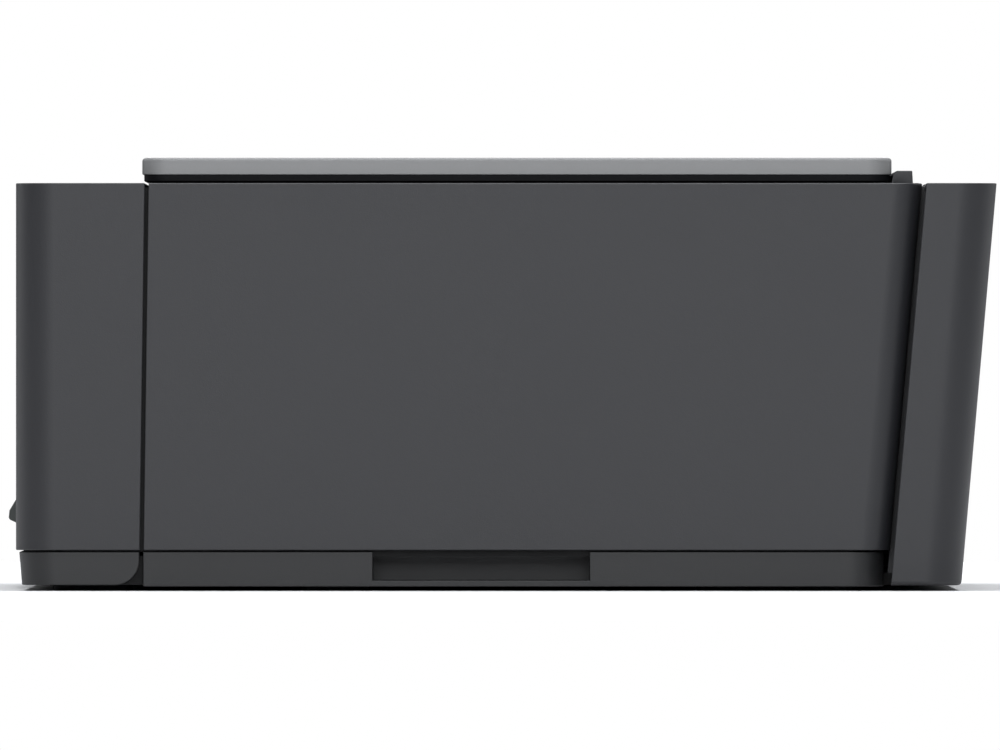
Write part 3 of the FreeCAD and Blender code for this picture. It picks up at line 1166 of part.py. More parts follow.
def tank_lid():
    """The flush lid over the filling necks, hinged along its rear edge."""
    top = BODY_TOP
    plate = box(TANK_LID_X0, TANK_LID_X1, STRIP_Y0, STRIP_Y1, top - 2.4, top)
    plate = fillet(plate, 2.0, lambda e: upright(e) and e.CenterOfMass.y < STRIP_Y0 + 1)
    middle = (TANK_LID_X0 + TANK_LID_X1) / 2
    scoop = Part.makeSphere(14, Vector(middle, STRIP_Y0 - 4, top + 9.5))
    pin = rod_x(TANK_LID_X0 - 2.6, TANK_LID_X1 + 2.6, TANK_LID_AXIS_Y, TANK_LID_AXIS_Z, 1.0)
    return fuse(plate.cut(scoop), pin)


# ---- rear paper support --------------------------------------------------------------------
FACE_Y = rear_y(PIVOT_Z)
INNER_Y = FACE_Y - FLAP_DEEP
PINION_Z = RACK_Z
RACK_R = RACK_MODULE * RACK_TEETH / 2
RACK_Y0 = INNER_Y + 3.2
RACK_Y1 = RACK_Y0 + 3.0
SLOT_OFFSET = RACK_R + 2.4
FIN_Z0 = PINION_Z + SLOT_OFFSET + 2.2
FLAP_STEP = 2.4
EXT_Y0 = INNER_Y + 2.2 + SLIP
EXT_Y1 = EXT_Y0 + EXTENSION_T
FIN_Z1 = BODY_TOP - 18
GUIDE_OUT = MEDIA / 2 + 1.0


def input_flap():
    """The fold-back paper support: a closed box, with guide slots, a slot on top and a step over the chute."""
    top = BODY_TOP + 3
    step_x0, step_x1, step_z = BAY_X0 - 4.2, RIGHT_X1 + 1.2, PICK_Z + 1.5
    shell = box(FLAP_X0, FLAP_X1, INNER_Y, FACE_Y, FLAP_Z0, top)
    shell = fillet(shell, 1.0, lambda e: upright(e) and e.CenterOfMass.y > FACE_Y - 1)
    shell = shell.cut(box(step_x0, step_x1, INNER_Y - 1, INNER_Y + FLAP_STEP, FLAP_Z0 - 1, step_z))
    hollow = box(FLAP_X0 + 2.4, FLAP_X1 - 2.4, INNER_Y + 2.2, FACE_Y - WALL, FLAP_Z0 + 2, BODY_TOP - 2.4)
    step_wall = box(step_x0 - 2, step_x1 + 2, INNER_Y, INNER_Y + FLAP_STEP + 2.2, FLAP_Z0, step_z + 1)
    flap = shell.cut(hollow.cut(step_wall))
    slot_x = GUIDE_OUT + 6
    for z in (PINION_Z + SLOT_OFFSET, PINION_Z - SLOT_OFFSET):
        flap = flap.cut(box(MEDIA_X - slot_x, MEDIA_X + slot_x, INNER_Y - 1, INNER_Y + 3, z - 1.6, z + 1.6))
    for x in (MEDIA_X - EXTENSION_W / 2 - 2.6, MEDIA_X + EXTENSION_W / 2 + 0.4):
        flap = fuse(flap, box(x, x + 2.2, INNER_Y + 2, FACE_Y - WALL + 0.5, FIN_Z0 + 3, BODY_TOP - 1))
    reach = EXTENSION_W / 2 + 1
    shelf = box(MEDIA_X - reach, MEDIA_X + reach, EXT_Y1 + SLIP, EXT_Y1 + 2.2, FIN_Z0 + 3, BODY_TOP - 1)
    stem = rod_y(MEDIA_X, INNER_Y + 1, RACK_Y1 + 3, PINION_Z, 1.5)
    pins = [rod_x(FLAP_X0 - 3.2, FLAP_X0 + 5, FACE_Y - PIVOT_IN, PIVOT_Z, 2.0)]
    pins.append(rod_x(FLAP_X1 - 5, FLAP_X1 + 3.2, FACE_Y - PIVOT_IN, PIVOT_Z, 2.0))
    flap = fuse(flap, shelf, stem, *pins)
    half = EXTENSION_W / 2 + SLIP
    mouth = box(MEDIA_X - half, MEDIA_X + half, EXT_Y0 - SLIP, EXT_Y1 + SLIP, BODY_TOP - 5, top + 1)
    flap = leaned(flap.cut(mouth))
    return flap.common(box(-WIDTH, WIDTH, 0, DEPTH, 0, BODY_TOP))


def input_extension():
    """The sheet that slides up out of the flap, with a finger bead along its top."""
    x0, x1 = MEDIA_X - EXTENSION_W / 2, MEDIA_X + EXTENSION_W / 2
    top = BODY_TOP - 0.4
    plate = box(x0, x1, EXT_Y0, EXT_Y1, FIN_Z0 + 4, top)
    bead = leaned(plate)
    crown_y = rear_y(BODY_TOP) - FLAP_DEEP
    outline = [
        (crown_y - 0.4, BODY_TOP + 0.15),
        (crown_y + 1.6, BODY_TOP + 0.6),
        (crown_y + 5.4, BODY_TOP + 0.6),
        (crown_y + 7.4, BODY_TOP + 0.15),
    ]
    crown = prism(outline, x0, x1)
    neck_y = crown_y + EXT_Y0 - INNER_Y
    neck = box(x0, x1, neck_y + 0.1, neck_y + EXTENSION_T - 0.1, top - 2, BODY_TOP + 0.3)
    return fuse(bead, crown, neck)


def rack(x0, x1, pitch_z, upward, phase_x):
    """A toothed bar along X; its teeth point up or down, and a gap's middle lies at phase_x."""
    pitch = math.pi * RACK_MODULE
    sign = 1 if upward else -1
    tip, root = 0.7 * RACK_MODULE, 1.25 * RACK_MODULE
    lean = math.tan(math.radians(20))
    half_at = pitch / 4 - 0.08
    points = [(x0, pitch_z - sign * (root + 1.6)), (x0, pitch_z - sign * root)]
    first = math.ceil((x0 + 2 - phase_x) / pitch - 0.5)
    k = first
    while phase_x + (k + 0.5) * pitch < x1 - 2:
        middle = phase_x + (k + 0.5) * pitch
        wide, narrow = half_at + root * lean, half_at - tip * lean
        points += [(middle - wide, pitch_z - sign * root), (middle - narrow, pitch_z + sign * tip)]
        points += [(middle + narrow, pitch_z + sign * tip), (middle + wide, pitch_z - sign * root)]
        k += 1
    points += [(x1, pitch_z - sign * root), (x1, pitch_z - sign * (root + 1.6))]
    wire = Part.makePolygon([Vector(x, RACK_Y0, z) for x, z in points + points[:1]])
    return Part.Face(wire).extrude(Vector(0, RACK_Y1 - RACK_Y0, 0))


def paper_edge_guide(side):
    """One sliding edge guide: side is -1 for the left and 1 for the right."""
    edge = MEDIA_X + side * GUIDE_OUT
    low, high = sorted((edge, edge + side * 2.0))
    foot_z = PINION_Z - SLOT_OFFSET - 1.6
    fin = box(low, high, INNER_Y - 6.0, INNER_Y - SLIP, foot_z, FIN_Z1)
    low, high = sorted((edge - side * 12, edge + side * 4.0))
    foot = box(low, high, INNER_Y - 1.8, INNER_Y - SLIP, foot_z, PINION_Z + SLOT_OFFSET + 2)
    upper = side < 0
    bar_sign = 1 if upper else -1
    slot_z = PINION_Z + bar_sign * SLOT_OFFSET
    low, high = sorted((edge - side * 8, edge + side * 2))
    stem = box(low, high, INNER_Y - 1, RACK_Y0 + 0.5, slot_z - 1.2, slot_z + 1.2)
    reach = MEDIA_X - side * 8.0
    x0, x1 = sorted((edge, reach))
    pitch_z = PINION_Z + bar_sign * RACK_R
    bar = rack(x0, x1, pitch_z, not upper, MEDIA_X)
    return leaned(fuse(fin, foot, stem, bar))


def guide_pinion():
    """The small gear between the two racks."""
    outline = gear_outline(RACK_MODULE, RACK_TEETH, math.pi / 2)
    points = [Vector(MEDIA_X + u, RACK_Y0, PINION_Z + v) for u, v in outline]
    solid = Part.Face(Part.makePolygon(points + points[:1])).extrude(Vector(0, RACK_Y1 - RACK_Y0, 0))
    return leaned(solid.cut(rod_y(MEDIA_X, RACK_Y0 - 1, RACK_Y1 + 1, PINION_Z, 1.5 + RUN)))


# ---- control strip and electronics ---------------------------------------------------------
STRIP_Y = (STRIP_Y0 + STRIP_Y1) / 2
BUTTON_BOTTOM = BODY_TOP - 7.0
BUTTON_TOP = BODY_TOP + 0.2


def control_panel():
    top = BODY_TOP - PANEL_SINK
    panel = rounded_box(PANEL_X0, PANEL_X1, STRIP_Y0, STRIP_Y1, top - PANEL_THICK, top, 5.0)
    for at in BUTTONS.values():
        panel = panel.cut(post(PANEL_X0 + at, STRIP_Y, top - 5, top + 2, BUTTON_R + SLIP))
    middle = PANEL_X0 + DISPLAY_AT
    dx, dy = DISPLAY_X / 2, DISPLAY_Y / 2
    opening = box(middle - dx, middle + dx, STRIP_Y - dy, STRIP_Y + dy, top - 5, top + 2)
    return panel.cut(opening)


def display():
    middle = PANEL_X0 + DISPLAY_AT
    dx, dy = DISPLAY_X / 2 - 0.15, DISPLAY_Y / 2 - 0.15
    top = BODY_TOP - PANEL_SINK - 0.3
    return box(middle - dx, middle + dx, STRIP_Y - dy, STRIP_Y + dy, top - 3.5, top)


def button(name):
    x = PANEL_X0 + BUTTONS[name]
    cap = post(x, STRIP_Y, BUTTON_BOTTOM, BUTTON_TOP, BUTTON_R)
    cap = fillet(cap, 0.8, lambda e: abs(e.CenterOfMass.z - BUTTON_TOP) < 0.01)
    flange = post(x, STRIP_Y, BUTTON_BOTTOM, BUTTON_BOTTOM + 1.2, BUTTON_R + 1.2)
    return fuse(cap, flange)


SOCKET_CUT_Y = REAR_TOP - 30.75
INLET_X0, INLET_X1 = 150.0, 176.0
INLET_Z0, INLET_Z1 = 20.0, 42.0
USB_X0, USB_X1 = -HALF + 40.0, -HALF + 52.2
USB_Z0, USB_Z1 = 22.0, 33.0
BOARD_Z = 20.0
BOARD_Y1 = REAR_TOP - 22.75
BOARD_Y0 = BOARD_Y1 - 92.0
SUPPLY_Y1 = REAR_TOP - 48.75
SUPPLY_Y0 = SUPPLY_Y1 - 46.0


def circuit_boards():
    """The main board with its chips and USB socket, and the switch board under the control strip."""
    x0 = -HALF + 34
    x1, top = x0 + 44, BOARD_Z + 1.6
    y0 = BOARD_Y0
    main = box(x0, x1, y0, BOARD_Y1, BOARD_Z, top)
    chips = [box(x0 + 6, x0 + 28, y0 + 36, y0 + 58, top, top + 2.4)]
    chips.append(box(x0 + 8, x0 + 22, y0 + 12, y0 + 24, top, top + 1.6))
    cans = [post(x1 - 7, y0 + at, top, top + 11.4, 4.5) for at in (38.0, 52.0, 66.0)]
    face = rear_y(USB_Z0)
    socket = box(USB_X0, USB_X1, face - WALL - 15, face - 1.2, BOARD_Z + 1.6, USB_Z1)
    hollow = box(USB_X0 + 1.8, USB_X1 - 1.8, face - 13, face, USB_Z0 + 1.4, USB_Z1 - 1.6)
    tongue = box(USB_X0 + 3.6, USB_X1 - 3.6, face - 14, face - 5, USB_Z0 + 4.0, USB_Z0 + 6.4)
    socket = fuse(socket.cut(hollow), tongue)
    corners = [(x, y) for x in (x0 + 6, x1 - 6) for y in (y0 + 6, y0 + 46)]
    posts = [post(x, y, BASE_BOTTOM + WALL, BOARD_Z, 2.0) for x, y in corners]
    keys_z = BUTTON_BOTTOM - 2.6
    keys = box(PANEL_X0 + 4, PANEL_X1 - 20, STRIP_Y0 + 4, STRIP_Y1 - 4, keys_z, keys_z + 1.6)
    switch_top = BUTTON_BOTTOM - 0.75
    switches = [post(PANEL_X0 + at, STRIP_Y, keys_z + 1.6, switch_top, 2.5) for at in BUTTONS.values()]
    return compound([fuse(main, *posts), *chips, *cans, socket, fuse(keys, *switches)])


def power_supply():
    """The closed supply box, with its two-pin inlet moulded on at the rear."""
    case = fillet(box(BAY_X1 + 22, HALF - 20, SUPPLY_Y0, SUPPLY_Y1, BASE_TOP, 50), 2.0, upright)
    neck = box(INLET_X0, INLET_X1, SUPPLY_Y1 - 1, rear_y(INLET_Z0) - 0.8, INLET_Z0, INLET_Z1)
    middle_x, middle_z = (INLET_X0 + INLET_X1) / 2, (INLET_Z0 + INLET_Z1) / 2
    face = rear_y(INLET_Z0) - 0.8
    lobes = [rod_y(middle_x + s * 3.6, face - 14, face + 1, middle_z, 4.6) for s in (-1, 1)]
    prongs = [rod_y(middle_x + s * 4.0, face - 15, face - 4, middle_z, 1.2) for s in (-1, 1)]
    return fuse(fuse(case, neck).cut(fuse(*lobes)), *prongs)


def main():
    pieces = {
        "base_pan": base_pan(),
        "front_skirt": front_skirt(),
        "front_bezel": front_bezel(),
        "right_side_cover": side_cover(),
        "left_side_cover": mirrored(side_cover()),
        "rear_cover": rear_cover(),
        "rubber_feet": rubber_feet(),
        "case_screws": case_screws(),
        "scanner_base": scanner_base(),
        "scanner_glass": scanner_glass(),
        "scan_rail": scan_rail(),
        "scan_head": scan_head(),
        "lid_cover": lid_cover(),
        "lid_inner_panel": lid_inner_panel(),
        "lid_pad": lid_pad(),
        "platen_frame": platen_frame(),
        "feed_roller": feed_roller(),
        "output_roller": output_roller(),
        "star_wheels": star_wheels(),
        "pinch_rollers": pinch_rollers(),
        "paper_guide": compound([paper_chute(), *pinch_arms()]),
        "pick_roller": pick_roller(),
        "idler_gear": loose_gear("idler", IDLER_TEETH),
        "transfer_gear": loose_gear("transfer", TRANSFER_TEETH),
        "motor_pinion": motor_pinion(),
        "drive_motors": drive_motors(),
        "chassis_beam": chassis_beam(),
        "guide_rod": guide_rod(),
        "carriage": carriage(),
        "carriage_latch": carriage_latch(),
        "print_heads": print_heads(),
        "carriage_belt": carriage_belt(),
        "carriage_pulley": carriage_pulley(),
        "idler_pulley": idler_pulley(),
        "service_station": service_station(),
        "service_sled": service_sled(),
        "ink_tanks": ink_tanks(),
        "ink_tubes": ink_tubes(),
        "output_tray": output_tray(),
        "output_extender": output_extender(),
        "front_door": front_door(),
        "tank_lid": tank_lid(),
        "input_flap": input_flap(),
        "input_extension": input_extension(),
        "left_paper_guide": paper_edge_guide(-1),
        "right_paper_guide": paper_edge_guide(1),
        "guide_pinion": guide_pinion(),
        "control_panel": control_panel(),
        "display": display(),
        "circuit_boards": circuit_boards(),
        "power_supply": power_supply(),
    }
    for k, ink in enumerate(INKS):
        pieces["tank_cap_" + ink] = tank_cap(k)
    for name in BUTTONS:
        pieces[name + "_button"] = button(name)
    os.makedirs("parts", exist_ok=True)
    for name, shape in pieces.items():
        shape.exportStep(os.path.join("parts", name + ".step"))
        state = "valid" if shape.isValid() else "NOT VALID"
        print(f"{name}: {len(shape.Solids)} solids, {shape.Volume / 1000:.1f} cm3, {state}")


main()
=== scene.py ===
import json
import math

import bmesh
import bpy
from mathutils import Matrix, Vector

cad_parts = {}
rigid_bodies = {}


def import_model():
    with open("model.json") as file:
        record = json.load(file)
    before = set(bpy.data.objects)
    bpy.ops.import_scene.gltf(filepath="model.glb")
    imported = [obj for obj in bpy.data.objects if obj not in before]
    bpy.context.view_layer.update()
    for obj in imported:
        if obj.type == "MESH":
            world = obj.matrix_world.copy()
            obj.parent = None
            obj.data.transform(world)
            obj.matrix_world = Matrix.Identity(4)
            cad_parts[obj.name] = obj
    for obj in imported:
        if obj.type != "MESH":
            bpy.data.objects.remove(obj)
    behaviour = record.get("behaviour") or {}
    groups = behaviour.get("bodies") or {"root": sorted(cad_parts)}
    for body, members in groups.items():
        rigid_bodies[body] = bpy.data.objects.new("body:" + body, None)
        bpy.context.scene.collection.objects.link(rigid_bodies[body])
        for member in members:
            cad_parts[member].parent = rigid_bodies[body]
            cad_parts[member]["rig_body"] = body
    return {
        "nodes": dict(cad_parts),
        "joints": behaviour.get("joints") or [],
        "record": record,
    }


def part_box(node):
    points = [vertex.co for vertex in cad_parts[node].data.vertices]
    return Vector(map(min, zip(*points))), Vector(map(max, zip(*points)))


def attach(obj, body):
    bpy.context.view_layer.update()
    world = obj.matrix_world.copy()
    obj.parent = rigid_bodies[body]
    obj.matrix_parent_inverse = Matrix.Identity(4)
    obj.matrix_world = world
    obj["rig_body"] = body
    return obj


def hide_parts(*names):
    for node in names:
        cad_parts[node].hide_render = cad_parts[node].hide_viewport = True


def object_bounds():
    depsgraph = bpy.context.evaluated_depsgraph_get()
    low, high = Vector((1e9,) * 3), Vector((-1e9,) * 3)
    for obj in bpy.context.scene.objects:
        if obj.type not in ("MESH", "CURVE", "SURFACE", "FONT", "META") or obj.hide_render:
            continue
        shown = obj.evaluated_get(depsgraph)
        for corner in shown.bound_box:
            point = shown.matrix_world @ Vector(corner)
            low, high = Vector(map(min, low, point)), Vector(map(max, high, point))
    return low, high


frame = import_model()
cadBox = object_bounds()
nodes = frame["nodes"]
mm = 0.001
print("frame loaded:", len(nodes), "nodes")


# a shader socket that takes part in sums
class Wire:
    def __init__(self, finish, socket):
        self.finish = finish
        self.socket = socket

    def calc(self, operation, *values):
        return self.finish.node("ShaderNodeMath", {"operation": operation}, *values)

    def __add__(self, other):
        return self.calc("ADD", self, other)

    def __radd__(self, other):
        return self.calc("ADD", other, self)

    def __sub__(self, other):
        return self.calc("SUBTRACT", self, other)

    def __rsub__(self, other):
        return self.calc("SUBTRACT", other, self)

    def __mul__(self, other):
        return self.calc("MULTIPLY", self, other)

    def __rmul__(self, other):
        return self.calc("MULTIPLY", other, self)

    def __gt__(self, other):
        return self.calc("GREATER_THAN", self, other)

    def __lt__(self, other):
        return self.calc("LESS_THAN", self, other)

    def __pow__(self, other):
        return self.calc("POWER", self, other)


class Finish:
    def __init__(self, name):
        self.material = bpy.data.materials.new(name)
        self.material.use_nodes = True
        self.tree = self.material.node_tree
        self.shader = self.tree.nodes["Principled BSDF"]
        self.place = self.node("ShaderNodeTexCoord", {}, output="Object")

    # a node of any type: settings first, then sockets in order or by name
    def node(self, kind, settings, *values, output=0, **named):
        made = self.tree.nodes.new(kind)
        for key, value in settings.items():
            if key == "stops":
                ramp = made.color_ramp
                while len(ramp.elements) < len(value):
                    ramp.elements.new(0.5)
                for element, (at, shade) in zip(ramp.elements, value):
                    element.position = at
                    element.color = (shade, shade, shade, 1.0)
            else:
                setattr(made, key, value)
        for key, value in [*enumerate(values), *named.items()]:
            self.feed(made.inputs[key.replace("_", " ") if isinstance(key, str) else key], value)
        return Wire(self, made.outputs[output])

    def feed(self, socket, value):
        if isinstance(value, Wire):
            self.tree.links.new(value.socket, socket)
        else:
            socket.default_value = value

    def set(self, **named):
        for key, value in named.items():
            if isinstance(value, tuple) and len(value) == 3:
                value = (*value, 1.0)
            self.feed(self.shader.inputs[key.replace("_", " ")], value)

    def noise(self, size, detail=2.0, rough=0.5, place=None):
        return self.node(
            "ShaderNodeTexNoise", {}, Vector=place or self.place, Scale=1.0 / size, Detail=detail, Roughness=rough
        )

    def cells(self, size):
        return self.node("ShaderNodeTexVoronoi", {"feature": "F1"}, Vector=self.place, Scale=1.0 / size)

    def axis(self, letter, place=None):
        return self.node("ShaderNodeSeparateXYZ", {}, place or self.place, output=letter)

    def turned(self, angles=(0, 0, 0), scale=(1, 1, 1)):
        return self.node("ShaderNodeMapping", {}, Vector=self.place, Rotation=angles, Scale=scale)

    def mixed(self, factor, first, second):
        made = self.tree.nodes.new("ShaderNodeMix")
        made.data_type = "RGBA"
        for socket, value in ((made.inputs[0], factor), (made.inputs[6], first), (made.inputs[7], second)):
            self.feed(socket, (*value, 1.0) if isinstance(value, tuple) else value)
        return Wire(self, made.outputs[2])

    def ramp(self, value, stops):
        return self.node("ShaderNodeValToRGB", {"stops": stops}, value)

    def bump(self, height, depth, strength):
        return self.node("ShaderNodeBump", {}, Height=height, Distance=depth, Strength=strength)

    # 1 between two places along an axis, 0 outside
    def between(self, letter, low, high):
        along = self.axis(letter)
        return (along > low) * (along < high)


def scaled(colour, factor):
    return tuple(channel * factor for channel in colour)


# moulded plastic with a spark-eroded grain: fine pits, a little mottling, roughness varied at random
def mouldedPlastic(name, colour, rough=0.5, grain=0.42, depth=0.00004, mottle=0.05, specular=0.5):
    finish = Finish(name)
    cloud = finish.noise(0.045, 3.0, 0.55)
    speck = finish.noise(grain * mm * 1.6, 2.0, 0.6)
    shade = finish.mixed(cloud, scaled(colour, 1 - mottle), scaled(colour, 1 + mottle))
    shade = finish.mixed(speck * 0.35, shade, scaled(colour, 0.82))
    pits = finish.cells(grain * mm)
    skin = finish.noise(grain * mm * 2.4, 3.0, 0.6)
    finish.set(
        Base_Color=shade,
        Roughness=rough - 0.05 + 0.07 * cloud + 0.05 * speck,
        Normal=finish.bump(pits * 0.6 + skin, depth, 0.55),
        Specular_IOR_Level=specular,
    )
    return finish


def glossPlastic(name, colour, rough=0.12):
    finish = Finish(name)
    smear = finish.noise(0.03, 4.0, 0.6)
    scratch = finish.noise(0.0009, 2.0, 0.5, finish.turned((0, 0, 0.6), (1, 0.06, 1)))
    wave = finish.noise(0.02, 2.0)
    finish.set(
        Base_Color=finish.mixed(smear, scaled(colour, 0.9), scaled(colour, 1.12)),
        Roughness=rough + 0.07 * (smear ** 2) + 0.05 * (scratch > 0.66),
        Normal=finish.bump(wave, 0.00005, 0.12),
        Coat_Weight=0.5,
        Coat_Roughness=0.04,
    )
    return finish


def softRubber(name, colour):
    finish = Finish(name)
    dust = finish.noise(0.006, 4.0, 0.6)
    grain = finish.noise(0.0005, 3.0, 0.7)
    finish.set(
        Base_Color=finish.mixed(finish.ramp(dust, [(0.45, 0.0), (0.8, 1.0)]), colour, scaled(colour, 1.7)),
        Roughness=0.72 + 0.14 * dust,
        Normal=finish.bump(grain, 0.00005, 0.5),
        Specular_IOR_Level=0.35,
    )
    return finish


# drawn or rolled steel: streaks run along one axis
def drawnSteel(name, colour, along="X", rough=0.3):
    finish = Finish(name)
    stretch = {"X": (0.02, 1, 1), "Y": (1, 0.02, 1), "Z": (1, 1, 0.02)}[along]
    streak = finish.noise(0.0006, 3.0, 0.6, finish.turned(scale=stretch))
    cloud = finish.noise(0.02, 3.0)
    finish.set(
        Base_Color=finish.mixed(streak, scaled(colour, 0.82), scaled(colour, 1.08)),
        Roughness=rough + 0.16 * streak + 0.08 * cloud,
        Metallic=1.0,
        Normal=finish.bump(streak, 0.00001, 0.3),
    )
    return finish


# zinc-coated sheet with its spangle
def zincSheet(name):
    finish = Finish(name)
    spangle = finish.node(
        "ShaderNodeTexVoronoi", {"feature": "F1"}, output="Color", Vector=finish.place, Scale=1 / 0.006
    )
    tone = finish.axis("X", spangle)
    grain = finish.noise(0.0008, 3.0)
    finish.set(
        Base_Color=finish.mixed(tone, (0.48, 0.49, 0.5), (0.62, 0.63, 0.65)),
        Roughness=0.3 + 0.16 * tone + 0.08 * grain,
        Metallic=1.0,
        Normal=finish.bump(tone + grain * 0.3, 0.00002, 0.25),
    )
    return finish


def acetalGear(name, colour=(0.8, 0.79, 0.74)):
    finish = Finish(name)
    cloud = finish.noise(0.004, 3.0)
    finish.set(
        Base_Color=finish.mixed(cloud, scaled(colour, 0.9), colour),
        Roughness=0.42 + 0.1 * cloud,
        Normal=finish.bump(finish.noise(0.0006, 2.0), 0.00002, 0.3),
    )
    return finish


def clearPlastic(name, tint, rough=0.08, waves=0.0001, clear=0.92):
    finish = Finish(name)
    flow = finish.noise(0.012, 2.0, place=finish.turned(scale=(1, 1, 0.35)))
    haze = finish.noise(0.004, 3.0)
    finish.set(
        Base_Color=finish.mixed(haze, scaled(tint, 0.97), tint),
        Roughness=rough + 0.05 * haze,
        Transmission_Weight=clear,
        IOR=1.4,
        Normal=finish.bump(flow, waves, 0.2),
    )
    return finish


def floatGlass(name):
    finish = Finish(name)
    wipe = finish.noise(0.02, 3.0, place=finish.turned(scale=(1, 0.2, 1)))
    finish.set(
        Base_Color=finish.mixed(wipe, (0.9, 0.97, 0.95), (0.93, 0.985, 0.965)),
        Roughness=0.015 + 0.03 * wipe,
        Transmission_Weight=1.0,
        IOR=1.52,
    )
    return finish


def liquidInk(name, colour):
    finish = Finish(name)
    depthTone = finish.noise(0.03, 2.0)
    finish.set(
        Base_Color=finish.mixed(depthTone, scaled(colour, 0.8), colour),
        Roughness=0.06 + 0.03 * depthTone,
        Normal=finish.bump(depthTone, 0.00002, 0.1),
    )
    return finish


# white vinyl sheet on foam, with the faint hammered grain that such pads have
def padVinyl(name):
    finish = Finish(name)
    cloud = finish.noise(0.05, 3.0)
    hammer = finish.cells(0.0012)
    finish.set(
        Base_Color=finish.mixed(cloud, (0.8, 0.8, 0.79), (0.86, 0.86, 0.85)),
        Roughness=0.55 + 0.08 * cloud,
        Normal=finish.bump(hammer, 0.00004, 0.3),
    )
    return finish


# solder mask with copper runs under it and dark chip bodies by height
def circuitBoard(name, boardTop):
    finish = Finish(name)
    brick = finish.node(
        "ShaderNodeTexBrick", {"offset": 0.37, "squash": 1.6, "squash_frequency": 3}, finish.place,
        output="Fac", Scale=1.0, Mortar_Size=0.0003, Brick_Width=0.0072, Row_Height=0.0016,
    )
    run = finish.noise(0.01, 2.0) > 0.52
    height = finish.axis("Z")
    part = (height > boardTop + 0.2 * mm) * (height < boardTop + 30 * mm)
    mask = finish.mixed(brick * run, (0.012, 0.09, 0.035), (0.03, 0.17, 0.07))
    finish.set(
        Base_Color=finish.mixed(part, mask, (0.022, 0.022, 0.024)),
        Roughness=0.32 + 0.2 * part,
        Normal=finish.bump(brick * run, 0.00004, 0.4),
    )
    return finish


def beltRubber(name):
    finish = Finish(name)
    teeth = finish.node(
        "ShaderNodeTexWave", {"wave_type": "BANDS", "bands_direction": "X", "wave_profile": "TRI"},
        Vector=finish.place, Scale=80.0, Distortion=0.0,
    )
    fibre = finish.noise(0.0004, 3.0, place=finish.turned(scale=(0.1, 1, 1)))
    finish.set(
        Base_Color=finish.mixed(fibre, (0.016, 0.016, 0.017), (0.035, 0.035, 0.037)),
        Roughness=0.62 + 0.15 * fibre,
        Normal=finish.bump(teeth + fibre * 0.2, 0.0002, 0.6),
    )
    return finish


def litMark(name, colour, glow=0.0):
    finish = Finish(name)
    ink = finish.noise(0.0006, 2.0)
    finish.set(
        Base_Color=finish.mixed(ink, scaled(colour, 0.86), colour),
        Roughness=0.42 + 0.1 * ink,
        Emission_Color=(*colour, 1.0),
        Emission_Strength=glow,
    )
    return finish


print("making finishes")
finishes = {
    "cover": mouldedPlastic("cover_plastic", (0.021, 0.0215, 0.0245), 0.46),
    "base": mouldedPlastic("base_plastic", (0.0175, 0.018, 0.019), 0.5, 0.5),
    "lid": mouldedPlastic("lid_plastic", (0.235, 0.237, 0.238), 0.46, 0.42, mottle=0.03),
    # near-black finish of the seam strips: painted shade in the depth of each seam
    "void": softRubber("seam_shade_black", (0.002, 0.002, 0.0022)),
    "lip": mouldedPlastic("tray_plastic", (0.072, 0.08, 0.077), 0.42),
    "black": mouldedPlastic("black_plastic", (0.0075, 0.0078, 0.009), 0.6, 0.4, specular=0.1),
    "dark": mouldedPlastic("frame_plastic", (0.016, 0.016, 0.018), 0.55, 0.6),
    "grey": mouldedPlastic("carriage_plastic", (0.05, 0.051, 0.054), 0.5, 0.5),
    "button": mouldedPlastic("button_plastic", (0.03, 0.031, 0.034), 0.42, 0.3, depth=0.00002),
    "gloss": glossPlastic("panel_gloss", (0.006, 0.006, 0.008), 0.1),
    "screen": glossPlastic("screen_window", (0.012, 0.016, 0.02), 0.05),
    "rubber": softRubber("foot_rubber", (0.045, 0.046, 0.05)),
    "steel": drawnSteel("shaft_steel", (0.6, 0.61, 0.63), "X", 0.2),
    "screw": drawnSteel("screw_steel", (0.35, 0.35, 0.37), "Z", 0.34),
    "motor": drawnSteel("motor_can", (0.55, 0.55, 0.56), "Y", 0.32),
    "zinc": zincSheet("zinc_sheet"),
    "zincPlate": drawnSteel("socket_plate", (0.6, 0.6, 0.62), "Y", 0.25),
    "acetal": acetalGear("acetal_gear"),
    "glass": floatGlass("scanner_float_glass"),
    "tank": clearPlastic("tank_wall", (0.93, 0.95, 0.96), 0.03, clear=1.0),
    "tube": clearPlastic("tube_wall", (0.85, 0.87, 0.9), 0.2),
    "pad": padVinyl("pad_vinyl"),
    "belt": beltRubber("belt_rubber"),
    "brass": drawnSteel("contact_brass", (0.75, 0.56, 0.27), "Y", 0.25),
    "mark": litMark("printed_mark", (0.55, 0.56, 0.57)),
    "segment": litMark("lit_segment", (0.62, 0.8, 0.86), 0.5),
    "lamp": litMark("lit_lamp", (0.5, 0.75, 0.95), 0.6),
}
inkColours = {
    "black": (0.006, 0.006, 0.008),
    "cyan": (0.0, 0.22, 0.5),
    "magenta": (0.42, 0.008, 0.14),
    "yellow": (0.75, 0.5, 0.01),
}
for ink, colour in inkColours.items():
    finishes["ink_" + ink] = liquidInk("ink_" + ink, colour)
    capColour = (0.012, 0.012, 0.014) if ink == "black" else colour
    finishes["cap_" + ink] = mouldedPlastic("cap_" + ink, capColour, 0.42, 0.35, depth=0.00002)


# turns a bmesh into a finished piece that rides on body
def toPiece(name, bm, finish, body, crease=35, weighted=True):
    for face in bm.faces:
        face.smooth = True
    for edge in bm.edges:
        if edge.is_manifold and edge.calc_face_angle(0.0) > math.radians(crease):
            edge.smooth = False
    mesh = bpy.data.meshes.new(name)
    bm.to_mesh(mesh)
    bm.free()
    piece = bpy.data.objects.new(name, mesh)
    bpy.context.scene.collection.objects.link(piece)
    mesh.materials.append(finishes[finish].material)
    if weighted:
        normals = piece.modifiers.new("normals", "WEIGHTED_NORMAL")
        normals.keep_sharp = True
        normals.weight = 60
    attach(piece, body)
    return piece


